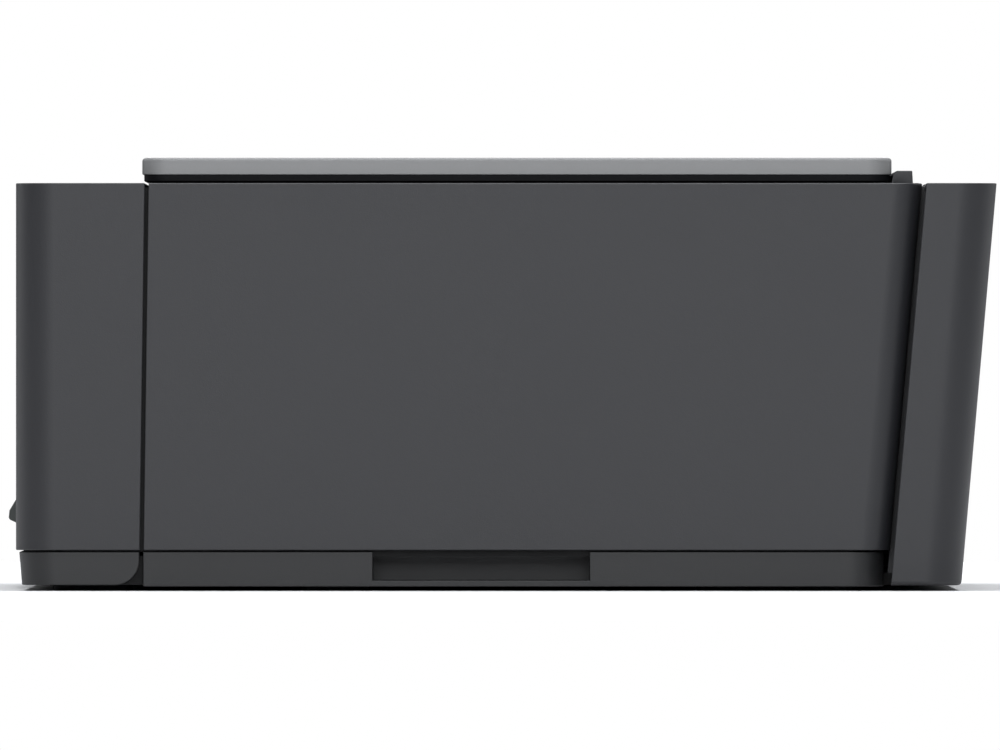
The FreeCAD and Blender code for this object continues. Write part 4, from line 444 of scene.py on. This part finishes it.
def bevelEdges(bm, edges, width, steps):
    bmesh.ops.bevel(
        bm, geom=edges, offset=width, offset_type="OFFSET", segments=steps, profile=0.5, affect="EDGES",
        clamp_overlap=False, material=-1, loop_slide=True,
    )


def addBlock(bm, low, high):
    low, high = Vector(low), Vector(high)
    made = bmesh.ops.create_cube(bm, size=1.0)
    bmesh.ops.scale(bm, vec=high - low, verts=made["verts"])
    bmesh.ops.translate(bm, vec=(low + high) / 2, verts=made["verts"])
    return made["verts"]


def edgesOf(verts):
    return list({edge for vert in verts for edge in vert.link_edges})


def alongAxis(edge, axis):
    span = edge.verts[1].co - edge.verts[0].co
    return abs(span[axis]) > 0.9 * span.length


# a block whose corners along one axis are rounded
def addSlab(bm, low, high, corner, axis=2, steps=8):
    verts = addBlock(bm, low, high)
    bevelEdges(bm, [e for e in edgesOf(verts) if alongAxis(e, axis)], corner, steps)


# edges sharper than crease degrees are rounded when they are longer than shortest times the rounding
softening = {
    "merge": 0.000004, "flat": 0.8, "crease": 32, "shortest": 2.2, "steps": 3, "mergeAfter": 0.000002,
}


# a copy of a CAD piece with its hard edges rounded by edge millimetres
def softened(name, finish, edge):
    source = nodes[name]
    bm = bmesh.new()
    bm.from_mesh(source.data)
    bmesh.ops.remove_doubles(bm, verts=bm.verts, dist=softening["merge"])
    bmesh.ops.dissolve_limit(
        bm, angle_limit=math.radians(softening["flat"]), verts=bm.verts, edges=bm.edges,
        use_dissolve_boundaries=False,
    )
    width = edge * mm
    crease, shortest = math.radians(softening["crease"]), softening["shortest"] * width
    hard = [
        e for e in bm.edges
        if e.is_manifold and e.calc_face_angle(0.0) > crease and e.calc_length() > shortest
    ]
    bevelEdges(bm, hard, width, softening["steps"])
    bmesh.ops.remove_doubles(bm, verts=bm.verts, dist=softening["mergeAfter"])
    piece = toPiece(name + "_shell", bm, finish, source["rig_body"])
    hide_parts(name)


print("rounding the covers")
softEdges = {
    "front_bezel": ("cover", 0.4),
    "right_side_cover": ("cover", 0.4),
    "left_side_cover": ("cover", 0.4),
    "rear_cover": ("cover", 0.4),
    "front_skirt": ("base", 0.4),
    "base_pan": ("base", 0.35),
    "lid_cover": ("lid", 0.3),
    "lid_inner_panel": ("black", 0.3),
    "scanner_base": ("cover", 0.35),
    "output_tray": ("black", 0.3),
    "output_extender": ("lip", 0.35),
    "front_door": ("cover", 0.35),
    "tank_lid": ("cover", 0.3),
    "input_flap": ("cover", 0.35),
    "input_extension": ("base", 0.12),
    "left_paper_guide": ("base", 0.3),
    "right_paper_guide": ("base", 0.3),
    "control_panel": ("gloss", 0.3),
    "rubber_feet": ("rubber", 0.3),
}
for name, (finish, edge) in softEdges.items():
    softened(name, finish, edge)
for name in [n for n in nodes if n.endswith("_button")]:
    softened(name, "button", 0.15)
for ink in inkColours:
    softened("tank_cap_" + ink, "cap_" + ink, 0.25)

# depth is measured in from the walls' outer faces; shelf is the plate between skirt and bezel
liner = {
    "depth": 1.6 * mm, "thick": 0.5 * mm, "lap": 9.0 * mm, "ahead": 1 * mm, "frontWedge": 10.0 * mm,
    "footGap": 0.8 * mm, "levelFront": 14 * mm, "levelRear": 12 * mm, "levelLap": 1.5 * mm,
    "shelfDeep": 26 * mm, "shelfBelow": 1.2 * mm, "shelfAbove": 0.6 * mm, "corner": 11.2 * mm, "cornerSteps": 6,
    "rearInset": 16 * mm, "rearAhead": 3.2 * mm, "rearBehind": 4.0 * mm,
    "rearBottom": 2.2 * mm, "rearTop": 6.5 * mm,
}


# painted shade: near-black strips just inside the walls, so that each open seam ends in shadow
def seamLiners():
    skirtLow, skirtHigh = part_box("front_skirt")
    coverLow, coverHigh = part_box("right_side_cover")
    panLow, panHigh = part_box("base_pan")
    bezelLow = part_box("front_bezel")[0]
    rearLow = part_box("rear_cover")[0]
    depth, thick, lap = liner["depth"], liner["thick"], liner["lap"]
    bm = bmesh.new()
    for side in (-1, 1):
        def wall(outer, low, high):
            x = sorted((side * (outer - depth - thick), side * (outer - depth)))
            addBlock(bm, (x[0], *low), (x[1], *high))
        # upright seam between the front and side covers
        wall(coverHigh.x, (coverLow.y - liner["ahead"], coverLow.z), (coverLow.y + lap, coverHigh.z - depth))
        # the same seam of the base
        wall(
            skirtHigh.x, (coverLow.y - liner["frontWedge"], panLow.z + liner["footGap"]),
            (coverLow.y + lap, panHigh.z),
        )
        # level seam above the base
        wall(
            skirtHigh.x, (skirtLow.y + liner["levelFront"], panHigh.z - liner["levelLap"]),
            (rearLow.y - liner["levelRear"], coverLow.z + liner["levelLap"]),
        )
    # across the front between skirt and bezel, with its corners drawn round
    reach = skirtHigh.x - depth
    inner = skirtLow.y + depth
    addSlab(
        bm, (-reach, inner, skirtHigh.z - liner["shelfBelow"]),
        (reach, inner + liner["shelfDeep"], bezelLow.z + liner["shelfAbove"]),
        liner["corner"], steps=liner["cornerSteps"],
    )
    # low at the back, between base pan and rear cover
    addBlock(
        bm, (-coverHigh.x + liner["rearInset"], rearLow.y - liner["rearAhead"], liner["rearBottom"]),
        (coverHigh.x - liner["rearInset"], rearLow.y + liner["rearBehind"], liner["rearTop"]),
    )
    toPiece("seam_shade_strips", bm, "void", "chassis", weighted=False)


seamLiners()


# rim is how near the flap's side a corner lies to count as part of it
seal = {"start": 16 * mm, "inset": 1.5 * mm, "bite": 0.1 * mm, "reach": 0.74 * mm, "rim": 0.5 * mm}


# thin seals on the paper support's sides, which close its side gaps to the eye
def supportSeals():
    hinge = next(j for j in frame["joints"] if j["name"] == "input_flap_hinge")
    slope = next(j for j in frame["joints"] if j["name"] == "extension_slide")["axis"]
    pivot = Vector(hinge["pos_m"])
    lean = Matrix.Rotation(-math.atan2(slope[1], slope[2]), 3, "X")
    upright = lean.inverted()
    flap = nodes["input_flap"]
    corners = [upright @ (flap.matrix_world @ v.co - pivot) for v in flap.data.vertices]
    top = max(c.z for c in corners)
    tall = [c for c in corners if c.z > top * 0.5]
    bm = bmesh.new()
    for side in (-1, 1):
        edge = max(side * c.x for c in tall)
        rim = [c.y for c in tall if side * c.x > edge - seal["rim"]]
        x = sorted((side * (edge - seal["bite"]), side * (edge + seal["reach"])))
        inset = seal["inset"]
        addBlock(bm, (x[0], min(rim) + inset, seal["start"]), (x[1], max(rim) - inset, top - inset))
    bmesh.ops.rotate(bm, cent=(0, 0, 0), matrix=lean, verts=bm.verts)
    bmesh.ops.translate(bm, vec=pivot, verts=bm.verts)
    toPiece("support_seals", bm, "black", "input_flap", weighted=False)


supportSeals()


# raises every face that the bmesh holds by height, which makes flat marks solid
def thicken(bm, height):
    made = bmesh.ops.extrude_face_region(bm, geom=bm.faces[:])
    raised = [v for v in made["geom"] if isinstance(v, bmesh.types.BMVert)]
    bmesh.ops.translate(bm, vec=(0, 0, height), verts=raised)
    bmesh.ops.recalc_face_normals(bm, faces=bm.faces[:])


# a flat arc round centre, from angle start through sweep, in degrees
def addArc(bm, centre, inner, outer, start, sweep):
    ray = Vector((math.cos(math.radians(start)), math.sin(math.radians(start)), 0))
    ends = [bm.verts.new(Vector(centre) + ray * reach) for reach in (inner, outer)]
    edge = bm.edges.new(ends)
    bmesh.ops.spin(
        bm, geom=[*ends, edge], cent=centre, axis=(0, 0, 1), dvec=(0, 0, 0), angle=math.radians(sweep),
        steps=max(3, round(abs(sweep) / 9)), use_merge=abs(sweep) >= 360, use_duplicate=False,
    )


def addBar(bm, centre, length, width, turn=0.0):
    made = bmesh.ops.create_grid(bm, x_segments=1, y_segments=1, size=0.5)
    bmesh.ops.scale(bm, vec=(length, width, 1), verts=made["verts"])
    bmesh.ops.rotate(bm, cent=(0, 0, 0), matrix=Matrix.Rotation(math.radians(turn), 3, "Z"), verts=made["verts"])
    bmesh.ops.translate(bm, vec=centre, verts=made["verts"])


def addFrame(bm, centre, width, height, line):
    x, y, z = centre
    for side in (-1, 1):
        addBar(bm, (x, y + side * (height - line) / 2, z), width, line)
        addBar(bm, (x + side * (width - line) / 2, y, z), line, height - 2 * line)


def addDisc(bm, centre, radius, corners=20):
    made = bmesh.ops.create_circle(bm, cap_ends=True, segments=corners, radius=radius)
    bmesh.ops.translate(bm, vec=centre, verts=made["verts"])


# stagger sets two crossing bars at slightly different heights
symbols = {"size": 2.9 * mm, "line": 0.42 * mm, "raise": 0.05 * mm, "stagger": 1e-8}


def drawPower(bm, at):
    size, line = symbols["size"], symbols["line"]
    addArc(bm, at, size - line, size, 120, 300)
    addBar(bm, at + Vector((0, size * 0.72, 0)), line, size * 1.1)


def drawWireless(bm, at):
    size, line = symbols["size"], symbols["line"]
    foot = at - Vector((0, size * 0.75, 0))
    addDisc(bm, foot, line * 0.9)
    for step in (1, 2, 3):
        reach = size * 0.58 * step
        addArc(bm, foot, reach - line, reach, 45, 90)


def drawCancel(bm, at):
    size, line = symbols["size"], symbols["line"]
    for turn in (45, -45):
        addBar(bm, at + Vector((0, 0, turn * symbols["stagger"])), size * 2.0, line * 1.15, turn)


def drawCopy(bm, at):
    size, line = symbols["size"], symbols["line"]
    addFrame(bm, at + Vector((-size * 0.22, -size * 0.18, 0)), size * 1.15, size * 1.5, line)
    corner = at + Vector((size * 0.3, size * 0.3, 0))
    addBar(bm, corner + Vector((0, size * 0.75, 0)), size * 1.15, line)
    addBar(bm, corner + Vector((size * 0.575 - line / 2, 0, 0)), line, size * 1.5)


def buttonSymbol(node, draw, finish="mark"):
    low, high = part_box(node)
    bm = bmesh.new()
    draw(bm, Vector(((low.x + high.x) / 2, (low.y + high.y) / 2, high.z)))
    thicken(bm, symbols["raise"])
    toPiece(node.replace("button", "symbol"), bm, finish, node, weighted=False)


print("drawing the symbols")
buttonSymbol("power_button", drawPower, "lamp")
buttonSymbol("wireless_button", drawWireless)
buttonSymbol("cancel_button", drawCancel)
buttonSymbol("copy_black_button", drawCopy)
buttonSymbol("copy_colour_button", drawCopy)


dots = {"shift": -0.66, "pitch": 0.85, "back": -0.5, "radius": 0.34}


# three dots on the colour copy button, one of each ink
def colourDots():
    low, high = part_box("copy_colour_button")
    middle = Vector(((low.x + high.x) / 2, (low.y + high.y) / 2, high.z))
    for k, ink in enumerate(("cyan", "magenta", "yellow")):
        bm = bmesh.new()
        place = middle + Vector((dots["shift"] + (k - 1) * dots["pitch"], dots["back"], 0)) * mm
        addDisc(bm, place, dots["radius"] * mm)
        thicken(bm, symbols["raise"])
        toPiece("copy_dot_" + ink, bm, "cap_" + ink, "copy_colour_button", weighted=False)


colourDots()

# millimetres on the screen; full lists how much of each ink gauge is lit
screenParts = {
    "digit": (4.4, 8.4), "digitX": 8, "line": 0.9, "icon": 4.6, "iconX": 17, "iconLine": 0.35, "rowLine": 0.3,
    "bars": 4, "barX": 5, "barPitch": 1.7, "barLeast": 1.4, "barRise": 1.3, "barWidth": 1.0, "barFoot": 3,
    "gaugeX": 15, "gaugePitch": 2.6, "gauge": (1.9, 7.6), "gaugeLine": 0.25, "gaugeFoot": 3.4, "fullWidth": 1.1,
    "full": (5.6, 4.9, 4.2, 5.2), "raise": 0.04,
}


# seven-segment figure: each letter of lit names a bar
def addDigit(bm, at, lit):
    width, height = (part * mm for part in screenParts["digit"])
    line = screenParts["line"] * mm
    half = height / 2 - line / 2
    spots = {
        "top": ((0, half), True), "middle": ((0, 0), True), "bottom": ((0, -half), True),
        "upperLeft": ((-width / 2, half / 2), False), "upperRight": ((width / 2, half / 2), False),
        "lowerLeft": ((-width / 2, -half / 2), False), "lowerRight": ((width / 2, -half / 2), False),
    }
    for name in lit:
        (x, y), level = spots[name]
        length = (width if level else half) - line * 0.55
        addBar(bm, at + Vector((x, y, 0)), *((length, line) if level else (line, length)))


def screenFigures():
    low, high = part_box("display")
    level = high.z
    middle = (low.y + high.y) / 2
    sizes = screenParts
    bm = bmesh.new()
    addDigit(bm, Vector((high.x - sizes["digitX"] * mm, middle, level)), ("upperRight", "lowerRight"))
    # a page with three rows
    icon = sizes["icon"] * mm
    pageX = high.x - sizes["iconX"] * mm
    addFrame(bm, Vector((pageX, middle, level)), icon, icon * 1.3, sizes["iconLine"] * mm)
    for row in (-1, 0, 1):
        addBar(bm, Vector((pageX, middle + row * icon * 0.3, level)), icon * 0.56, sizes["rowLine"] * mm)
    # signal bars
    for step in range(sizes["bars"]):
        tall = (sizes["barLeast"] + sizes["barRise"] * step) * mm
        x = low.x + (sizes["barX"] + sizes["barPitch"] * step) * mm
        addBar(bm, Vector((x, middle - sizes["barFoot"] * mm + tall / 2, level)), sizes["barWidth"] * mm, tall)
    # ink gauges
    width, height = (part * mm for part in sizes["gauge"])
    for k, full in enumerate(sizes["full"]):
        x = low.x + (sizes["gaugeX"] + sizes["gaugePitch"] * k) * mm
        addFrame(bm, Vector((x, middle, level)), width, height, sizes["gaugeLine"] * mm)
        full = full * mm
        addBar(bm, Vector((x, middle - sizes["gaugeFoot"] * mm + full / 2, level)), sizes["fullWidth"] * mm, full)
    thicken(bm, sizes["raise"] * mm)
    toPiece("screen_figures", bm, "segment", "chassis", weighted=False)


screenFigures()


lens = {"radius": 0.8 * mm, "flat": 0.35, "behind": 2.6 * mm}


# a lamp beside the power and wireless buttons
def statusLamps():
    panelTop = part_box("control_panel")[1].z
    for name in ("power", "wireless"):
        low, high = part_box(name + "_button")
        bm = bmesh.new()
        made = bmesh.ops.create_uvsphere(bm, u_segments=20, v_segments=10, radius=lens["radius"])
        bmesh.ops.scale(bm, vec=(1, 1, lens["flat"]), verts=made["verts"])
        place = ((low.x + high.x) / 2, high.y + lens["behind"], panelTop)
        bmesh.ops.translate(bm, vec=place, verts=made["verts"])
        toPiece(name + "_lamp", bm, "lamp", "chassis")


statusLamps()


# gap is the space between tanks; front is how far a tank's face lies behind its window boss
tankSizes = {
    "gap": 2.0 * mm, "wall": 2.1 * mm, "floor": 2.3 * mm, "front": 3 * mm, "depth": 72.4 * mm,
    "corner": 1.2 * mm, "rim": 0.9 * mm, "dip": 0.35 * mm,
    "boss": 3.7 * mm, "bossFront": 1.9 * mm, "bossUp": 12 * mm, "bossLap": 0.6 * mm, "bossCorner": 0.5 * mm,
    "levels": {"black": 0.66, "cyan": 0.55, "magenta": 0.47, "yellow": 0.6},
}


# ink inside the tanks, its surface drawn down inside a thin rim
def inkVolumes():
    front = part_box("ink_tanks")[0].y
    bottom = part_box("ink_tanks")[0].z + tankSizes["floor"]
    capBoxes = {ink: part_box("tank_cap_" + ink) for ink in inkColours}
    centres = {ink: (low.x + high.x) / 2 for ink, (low, high) in capBoxes.items()}
    half = (centres["cyan"] - centres["black"] - tankSizes["gap"]) / 2
    bodyTop = capBoxes["black"][0].z
    wall, boss = tankSizes["wall"], tankSizes["boss"]
    face = front + tankSizes["front"]
    for ink, middle in centres.items():
        level = bottom + (bodyTop - bottom) * tankSizes["levels"][ink]
        bm = bmesh.new()
        low = Vector((middle - half + wall, face + wall, bottom))
        high = Vector((middle + half - wall, face + tankSizes["depth"] - wall, level))
        addSlab(bm, low, high, tankSizes["corner"])
        surface = [f for f in bm.faces if f.normal.z > 0.9]
        bmesh.ops.inset_region(bm, faces=surface, thickness=tankSizes["rim"], depth=-tankSizes["dip"])
        addSlab(
            bm, (middle - half + boss, front + tankSizes["bossFront"], bottom + tankSizes["bossUp"]),
            (middle + half - boss, face + wall + tankSizes["bossLap"], level), tankSizes["bossCorner"], steps=3,
        )
        toPiece("ink_" + ink, bm, "ink_" + ink, "chassis")


inkVolumes()


# lines are (share of the tank's height, half length in mm); shorter ones end where right says
levelLines = {
    "lines": ((0.84, 7.0), (0.68, 2.4), (0.52, 4.0), (0.36, 2.4), (0.22, 7.0)),
    "right": 8 * mm, "half": 0.2 * mm, "proud": 0.12 * mm, "bite": 0.05 * mm,
}


# fill limits on each window boss: a long line high and low, and shorter steps between
def levelMarks():
    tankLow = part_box("ink_tanks")[0]
    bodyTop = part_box("tank_cap_black")[0].z
    bm = bmesh.new()
    for ink in inkColours:
        low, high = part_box("tank_cap_" + ink)
        middle = (low.x + high.x) / 2
        for share, half in levelLines["lines"]:
            z = tankLow.z + (bodyTop - tankLow.z) * share
            if half < 7:
                right = middle + levelLines["right"]
                left = right - 2 * half * mm
            else:
                right = middle + half * mm
                left = middle - half * mm
            addBlock(
                bm, (left, tankLow.y - levelLines["proud"], z - levelLines["half"]),
                (right, tankLow.y + levelLines["bite"], z + levelLines["half"]),
            )
    toPiece("level_marks", bm, "mark", "chassis", weighted=False)


levelMarks()


drop = {
    "back": 11.6 * mm, "sink": 0.02 * mm, "radius": 2.0 * mm, "narrow": 0.75, "point": 1.8 * mm,
    "raise": 0.25 * mm, "edge": 0.08 * mm, "edgeAbove": 0.2 * mm,
}


# a raised drop on each stopper
def capDrops():
    for ink in inkColours:
        low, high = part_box("tank_cap_" + ink)
        middle = Vector(((low.x + high.x) / 2, low.y + drop["back"], high.z - drop["sink"]))
        bm = bmesh.new()
        made = bmesh.ops.create_circle(bm, cap_ends=True, segments=28, radius=drop["radius"])
        for vert in made["verts"]:  # drawn out to a point at the rear
            lift = max(0.0, vert.co.y / drop["radius"])
            vert.co.x *= 1 - drop["narrow"] * lift ** 2
            vert.co.y += drop["point"] * lift ** 3
        bmesh.ops.translate(bm, vec=middle, verts=made["verts"])
        thicken(bm, drop["raise"])
        above = middle.z + drop["edgeAbove"]
        rims = [e for e in bm.edges if e.calc_face_angle(0.0) > 1.0 and e.verts[0].co.z > above]
        bevelEdges(bm, rims, drop["edge"], 2)
        toPiece("cap_drop_" + ink, bm, "cap_" + ink, "tank_cap_" + ink)


capDrops()


dataSocket = {
    "wide": 8.4 * mm, "tall": 7.7 * mm, "deep": 10.5 * mm, "wall": 0.2 * mm, "corner": 0.9 * mm,
    "lower": 0.1 * mm, "recess": 0.3 * mm, "contactX": 1.25 * mm, "contactZ": 1.32 * mm, "contactLower": 0.3 * mm,
    "contactHalf": (0.5 * mm, 0.06 * mm), "contactEnds": (9 * mm, 4.2 * mm),
}


# the metal shell and four contacts of the data socket
def dataSocketShell():
    mount = Vector(next(m for m in frame["record"]["mounts"] if m["name"] == "data_socket")["pos_m"])
    wide, tall, lower = dataSocket["wide"], dataSocket["tall"], dataSocket["lower"]
    bm = bmesh.new()
    low = mount + Vector((-wide / 2, -dataSocket["deep"], -tall / 2 - lower))
    high = mount + Vector((wide / 2, -dataSocket["recess"], tall / 2 - lower))
    addSlab(bm, low, high, dataSocket["corner"], axis=1, steps=4)
    ends = [f for f in bm.faces if abs(f.normal.y) > 0.9]
    bmesh.ops.delete(bm, geom=ends, context="FACES_ONLY")
    bmesh.ops.solidify(bm, geom=bm.faces[:], thickness=dataSocket["wall"])
    bmesh.ops.recalc_face_normals(bm, faces=bm.faces[:])
    toPiece("data_socket_shell", bm, "zincPlate", "chassis")
    bm = bmesh.new()
    halfX, halfZ = dataSocket["contactHalf"]
    inner, outer = dataSocket["contactEnds"]
    for side in (-1, 1):
        for face in (-1, 1):
            x = mount.x + side * dataSocket["contactX"]
            z = mount.z - dataSocket["contactLower"] + face * dataSocket["contactZ"]
            addBlock(bm, (x - halfX, mount.y - inner, z - halfZ), (x + halfX, mount.y - outer, z + halfZ))
    toPiece("data_socket_contacts", bm, "brass", "chassis", weighted=False)


dataSocketShell()


scaleMarks = {
    "margin": 2.0 * mm, "step": 10 * mm, "longEvery": 5, "short": 1.6 * mm, "long": 2.8 * mm, "line": 0.3 * mm,
    "arrow": 3.0 * mm, "arrowOut": 5 * mm, "raise": 0.04 * mm,
}


# a ruler along two edges of the glass, and an arrow at its corner
def glassRuler():
    low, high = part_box("scanner_glass")
    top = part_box("right_side_cover")[1].z
    bm = bmesh.new()
    line, margin, step = scaleMarks["line"], scaleMarks["margin"], scaleMarks["step"]
    for k in range(int((high.x - low.x) / step) + 1):
        long = scaleMarks["short" if k % scaleMarks["longEvery"] else "long"]
        addBar(bm, Vector((high.x - k * step, high.y + margin + long / 2, top)), line, long)
    for k in range(int((high.y - low.y) / step) + 1):
        long = scaleMarks["short" if k % scaleMarks["longEvery"] else "long"]
        addBar(bm, Vector((high.x + margin + long / 2, high.y - k * step, top)), long, line)
    arrow = bmesh.ops.create_circle(bm, cap_ends=True, segments=3, radius=scaleMarks["arrow"])
    turn = Matrix.Rotation(math.radians(135), 3, "Z")
    bmesh.ops.rotate(bm, cent=(0, 0, 0), matrix=turn, verts=arrow["verts"])
    out = scaleMarks["arrowOut"]
    bmesh.ops.translate(bm, vec=(high.x + out, high.y + out, top), verts=arrow["verts"])
    thicken(bm, scaleMarks["raise"])
    toPiece("glass_ruler", bm, "mark", "chassis", weighted=False)


glassRuler()


# rollers and shafts: steel, with gears of acetal and tyres of rubber told apart by place
def rollerFinish(name, joint, gearSpan=None, tyreRadius=None, shaft=(0.5, 0.51, 0.53), grit=False):
    place = Vector(next(j for j in frame["joints"] if j["name"] == joint)["pos_m"])
    finish = Finish(name)
    streak = finish.noise(0.0005, 3.0, 0.6, finish.turned(scale=(0.05, 1, 1)))
    cloud = finish.noise(0.005, 3.0)
    colour = finish.mixed(streak, scaled(shaft, 0.78), shaft)
    rough = 0.3 + 0.15 * streak
    metal = 1.0
    if grit:
        sand = finish.noise(0.0003, 2.0)
        colour = finish.mixed(sand, scaled(shaft, 0.35), scaled(shaft, 0.6))
        rough = 0.5 + 0.25 * sand
    if tyreRadius:
        y = finish.axis("Y") - place.y
        z = finish.axis("Z") - place.z
        tyre = (y * y + z * z) > (tyreRadius * mm) ** 2
        colour = finish.mixed(tyre, colour, finish.mixed(cloud, (0.018, 0.018, 0.019), (0.034, 0.034, 0.036)))
        rough = rough + 0.35 * tyre
        metal = metal * (1 - tyre)
    if gearSpan:
        gear = finish.between("X", *gearSpan)
        colour = finish.mixed(gear, colour, finish.mixed(cloud, (0.68, 0.67, 0.62), (0.8, 0.79, 0.74)))
        rough = rough * (1 - gear) + 0.42 * gear
        metal = metal * (1 - gear)
    finish.set(Base_Color=colour, Roughness=rough, Metallic=metal, Normal=finish.bump(streak, 0.00001, 0.25))
    return finish


# the supply's case, with the two pins of its inlet in brass
def supplyFinish():
    finish = mouldedPlastic("supply_plastic", (0.012, 0.012, 0.013), 0.5, 0.5)
    mount = Vector(next(m for m in frame["record"]["mounts"] if m["name"] == "mains_inlet")["pos_m"])
    x = finish.node("ShaderNodeMath", {"operation": "ABSOLUTE"}, finish.axis("X") - mount.x) - 4.0 * mm
    z = finish.axis("Z") - mount.z
    pin = ((x * x + z * z) < (1.35 * mm) ** 2) * (finish.axis("Y") > mount.y - 15 * mm)
    finish.set(
        Base_Color=finish.mixed(pin, (0.012, 0.012, 0.013), (0.75, 0.56, 0.27)),
        Metallic=pin,
    )
    return finish


gearSpan = (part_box("idler_gear")[0].x - 0.1 * mm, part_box("idler_gear")[1].x + 0.1 * mm)
finishes["feedRoller"] = rollerFinish("feed_roller_grit", "feed_roller_spin", gearSpan, grit=True)
finishes["exitRoller"] = rollerFinish("exit_roller", "output_roller_spin", gearSpan, 4.15)
finishes["pickRoller"] = rollerFinish("pick_roller", "pick_roller_spin", gearSpan, 13.2)
finishes["pinchRoller"] = rollerFinish("pinch_roller", "pinch_roller_spin", None, 1.2)
finishes["supply"] = supplyFinish()
finishes["board"] = circuitBoard("main_board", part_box("circuit_boards")[0].z)

# pieces whose shape is right as it stands
carried = {
    "display": "screen", "scanner_glass": "glass", "lid_pad": "pad", "scan_rail": "steel", "guide_rod": "steel",
    "case_screws": "screw", "chassis_beam": "zinc", "drive_motors": "motor", "platen_frame": "dark",
    "paper_guide": "dark", "carriage": "grey", "carriage_latch": "dark", "print_heads": "black",
    "scan_head": "dark", "service_station": "dark", "service_sled": "dark", "power_supply": "supply",
    "idler_gear": "acetal", "transfer_gear": "acetal", "motor_pinion": "brass", "guide_pinion": "acetal",
    "carriage_pulley": "acetal", "idler_pulley": "acetal", "star_wheels": "steel", "pinch_rollers": "pinchRoller",
    "feed_roller": "feedRoller", "output_roller": "exitRoller", "pick_roller": "pickRoller",
    "ink_tanks": "tank", "ink_tubes": "tube", "carriage_belt": "belt", "circuit_boards": "board",
}
for name, finish in carried.items():
    mesh = nodes[name].data
    mesh.materials.clear()
    mesh.materials.append(finishes[finish].material)

print("setting up floor, lights and camera")
stage = {
    "floor": 3.3, "floorColour": (0.86, 0.86, 0.865), "lens": 1200.0, "scale": 0.3635, "height": 0.0785,
    "worldColour": (0.95, 0.97, 1.0), "worldStrength": 0.1, "lampColour": (0.96, 0.975, 1.0), "aim": (0, 0, 0.08),
}

# place, size and power of each soft box; they all face the printer
softBoxes = {
    "sideBox": ((1.9, 0.0, 0.72), (1.25, 0.9), 14.5),
    "overheadBox": ((0.1, 0.0, 2.3), (2.4, 2.0), 78),
    "frontBox": ((-1.25, -2.4, 0.8), (1.2, 1.0), 8),
    "rearBox": ((-1.25, 2.4, 0.8), (1.2, 1.0), 8),
    "leftBox": ((-2.2, 0.0, 0.75), (1.25, 1.0), 17),
}


def makeFloor():
    bm = bmesh.new()
    bmesh.ops.create_grid(bm, x_segments=1, y_segments=1, size=stage["floor"] / 2)
    mesh = bpy.data.meshes.new("floor")
    bm.to_mesh(mesh)
    bm.free()
    floor = bpy.data.objects.new("floor", mesh)
    bpy.context.scene.collection.objects.link(floor)
    paper = Finish("floor_paper")
    paper.set(Base_Color=stage["floorColour"], Roughness=0.9, Specular_IOR_Level=0.1)
    mesh.materials.append(paper.material)


# white behind the printer, a dim even light on it
def makeWorld():
    world = bpy.data.worlds.new("studio")
    bpy.context.scene.world = world
    world.use_nodes = True
    tree = world.node_tree
    dim = tree.nodes["Background"]
    dim.inputs["Color"].default_value = (*stage["worldColour"], 1.0)
    dim.inputs["Strength"].default_value = stage["worldStrength"]
    white = tree.nodes.new("ShaderNodeBackground")
    white.inputs["Color"].default_value = (1.0, 1.0, 1.0, 1.0)
    mix = tree.nodes.new("ShaderNodeMixShader")
    rays = tree.nodes.new("ShaderNodeLightPath")
    tree.links.new(rays.outputs["Is Camera Ray"], mix.inputs[0])
    tree.links.new(dim.outputs[0], mix.inputs[1])
    tree.links.new(white.outputs[0], mix.inputs[2])
    tree.links.new(mix.outputs[0], tree.nodes["World Output"].inputs["Surface"])


def makeSoftBox(name, place, size, power):
    lamp = bpy.data.lights.new(name, "AREA")
    lamp.shape = "RECTANGLE"
    lamp.size, lamp.size_y = size
    lamp.energy = power
    lamp.color = stage["lampColour"]
    lampObject = bpy.data.objects.new(name, lamp)
    bpy.context.scene.collection.objects.link(lampObject)
    lampObject.location = place
    lampObject.rotation_euler = (Vector(stage["aim"]) - Vector(place)).to_track_quat("-Z", "Y").to_euler()
    lampObject.visible_camera = False


def makeCamera():
    camera = bpy.data.cameras.new("camera")
    camera.lens = stage["lens"]
    camera.sensor_width = 36.0
    distance = stage["scale"] * camera.lens / camera.sensor_width
    cameraObject = bpy.data.objects.new("camera", camera)
    bpy.context.scene.collection.objects.link(cameraObject)
    cameraObject.location = (cadBox[1][0] + distance, 0.0, stage["height"])
    cameraObject.rotation_euler = (math.radians(90), 0, math.radians(90))
    bpy.context.scene.camera = cameraObject


makeFloor()
makeWorld()
for name, (place, size, power) in softBoxes.items():
    makeSoftBox(name, place, size, power)
makeCamera()
bpy.context.scene.view_settings.view_transform = "Standard"

print("finished")
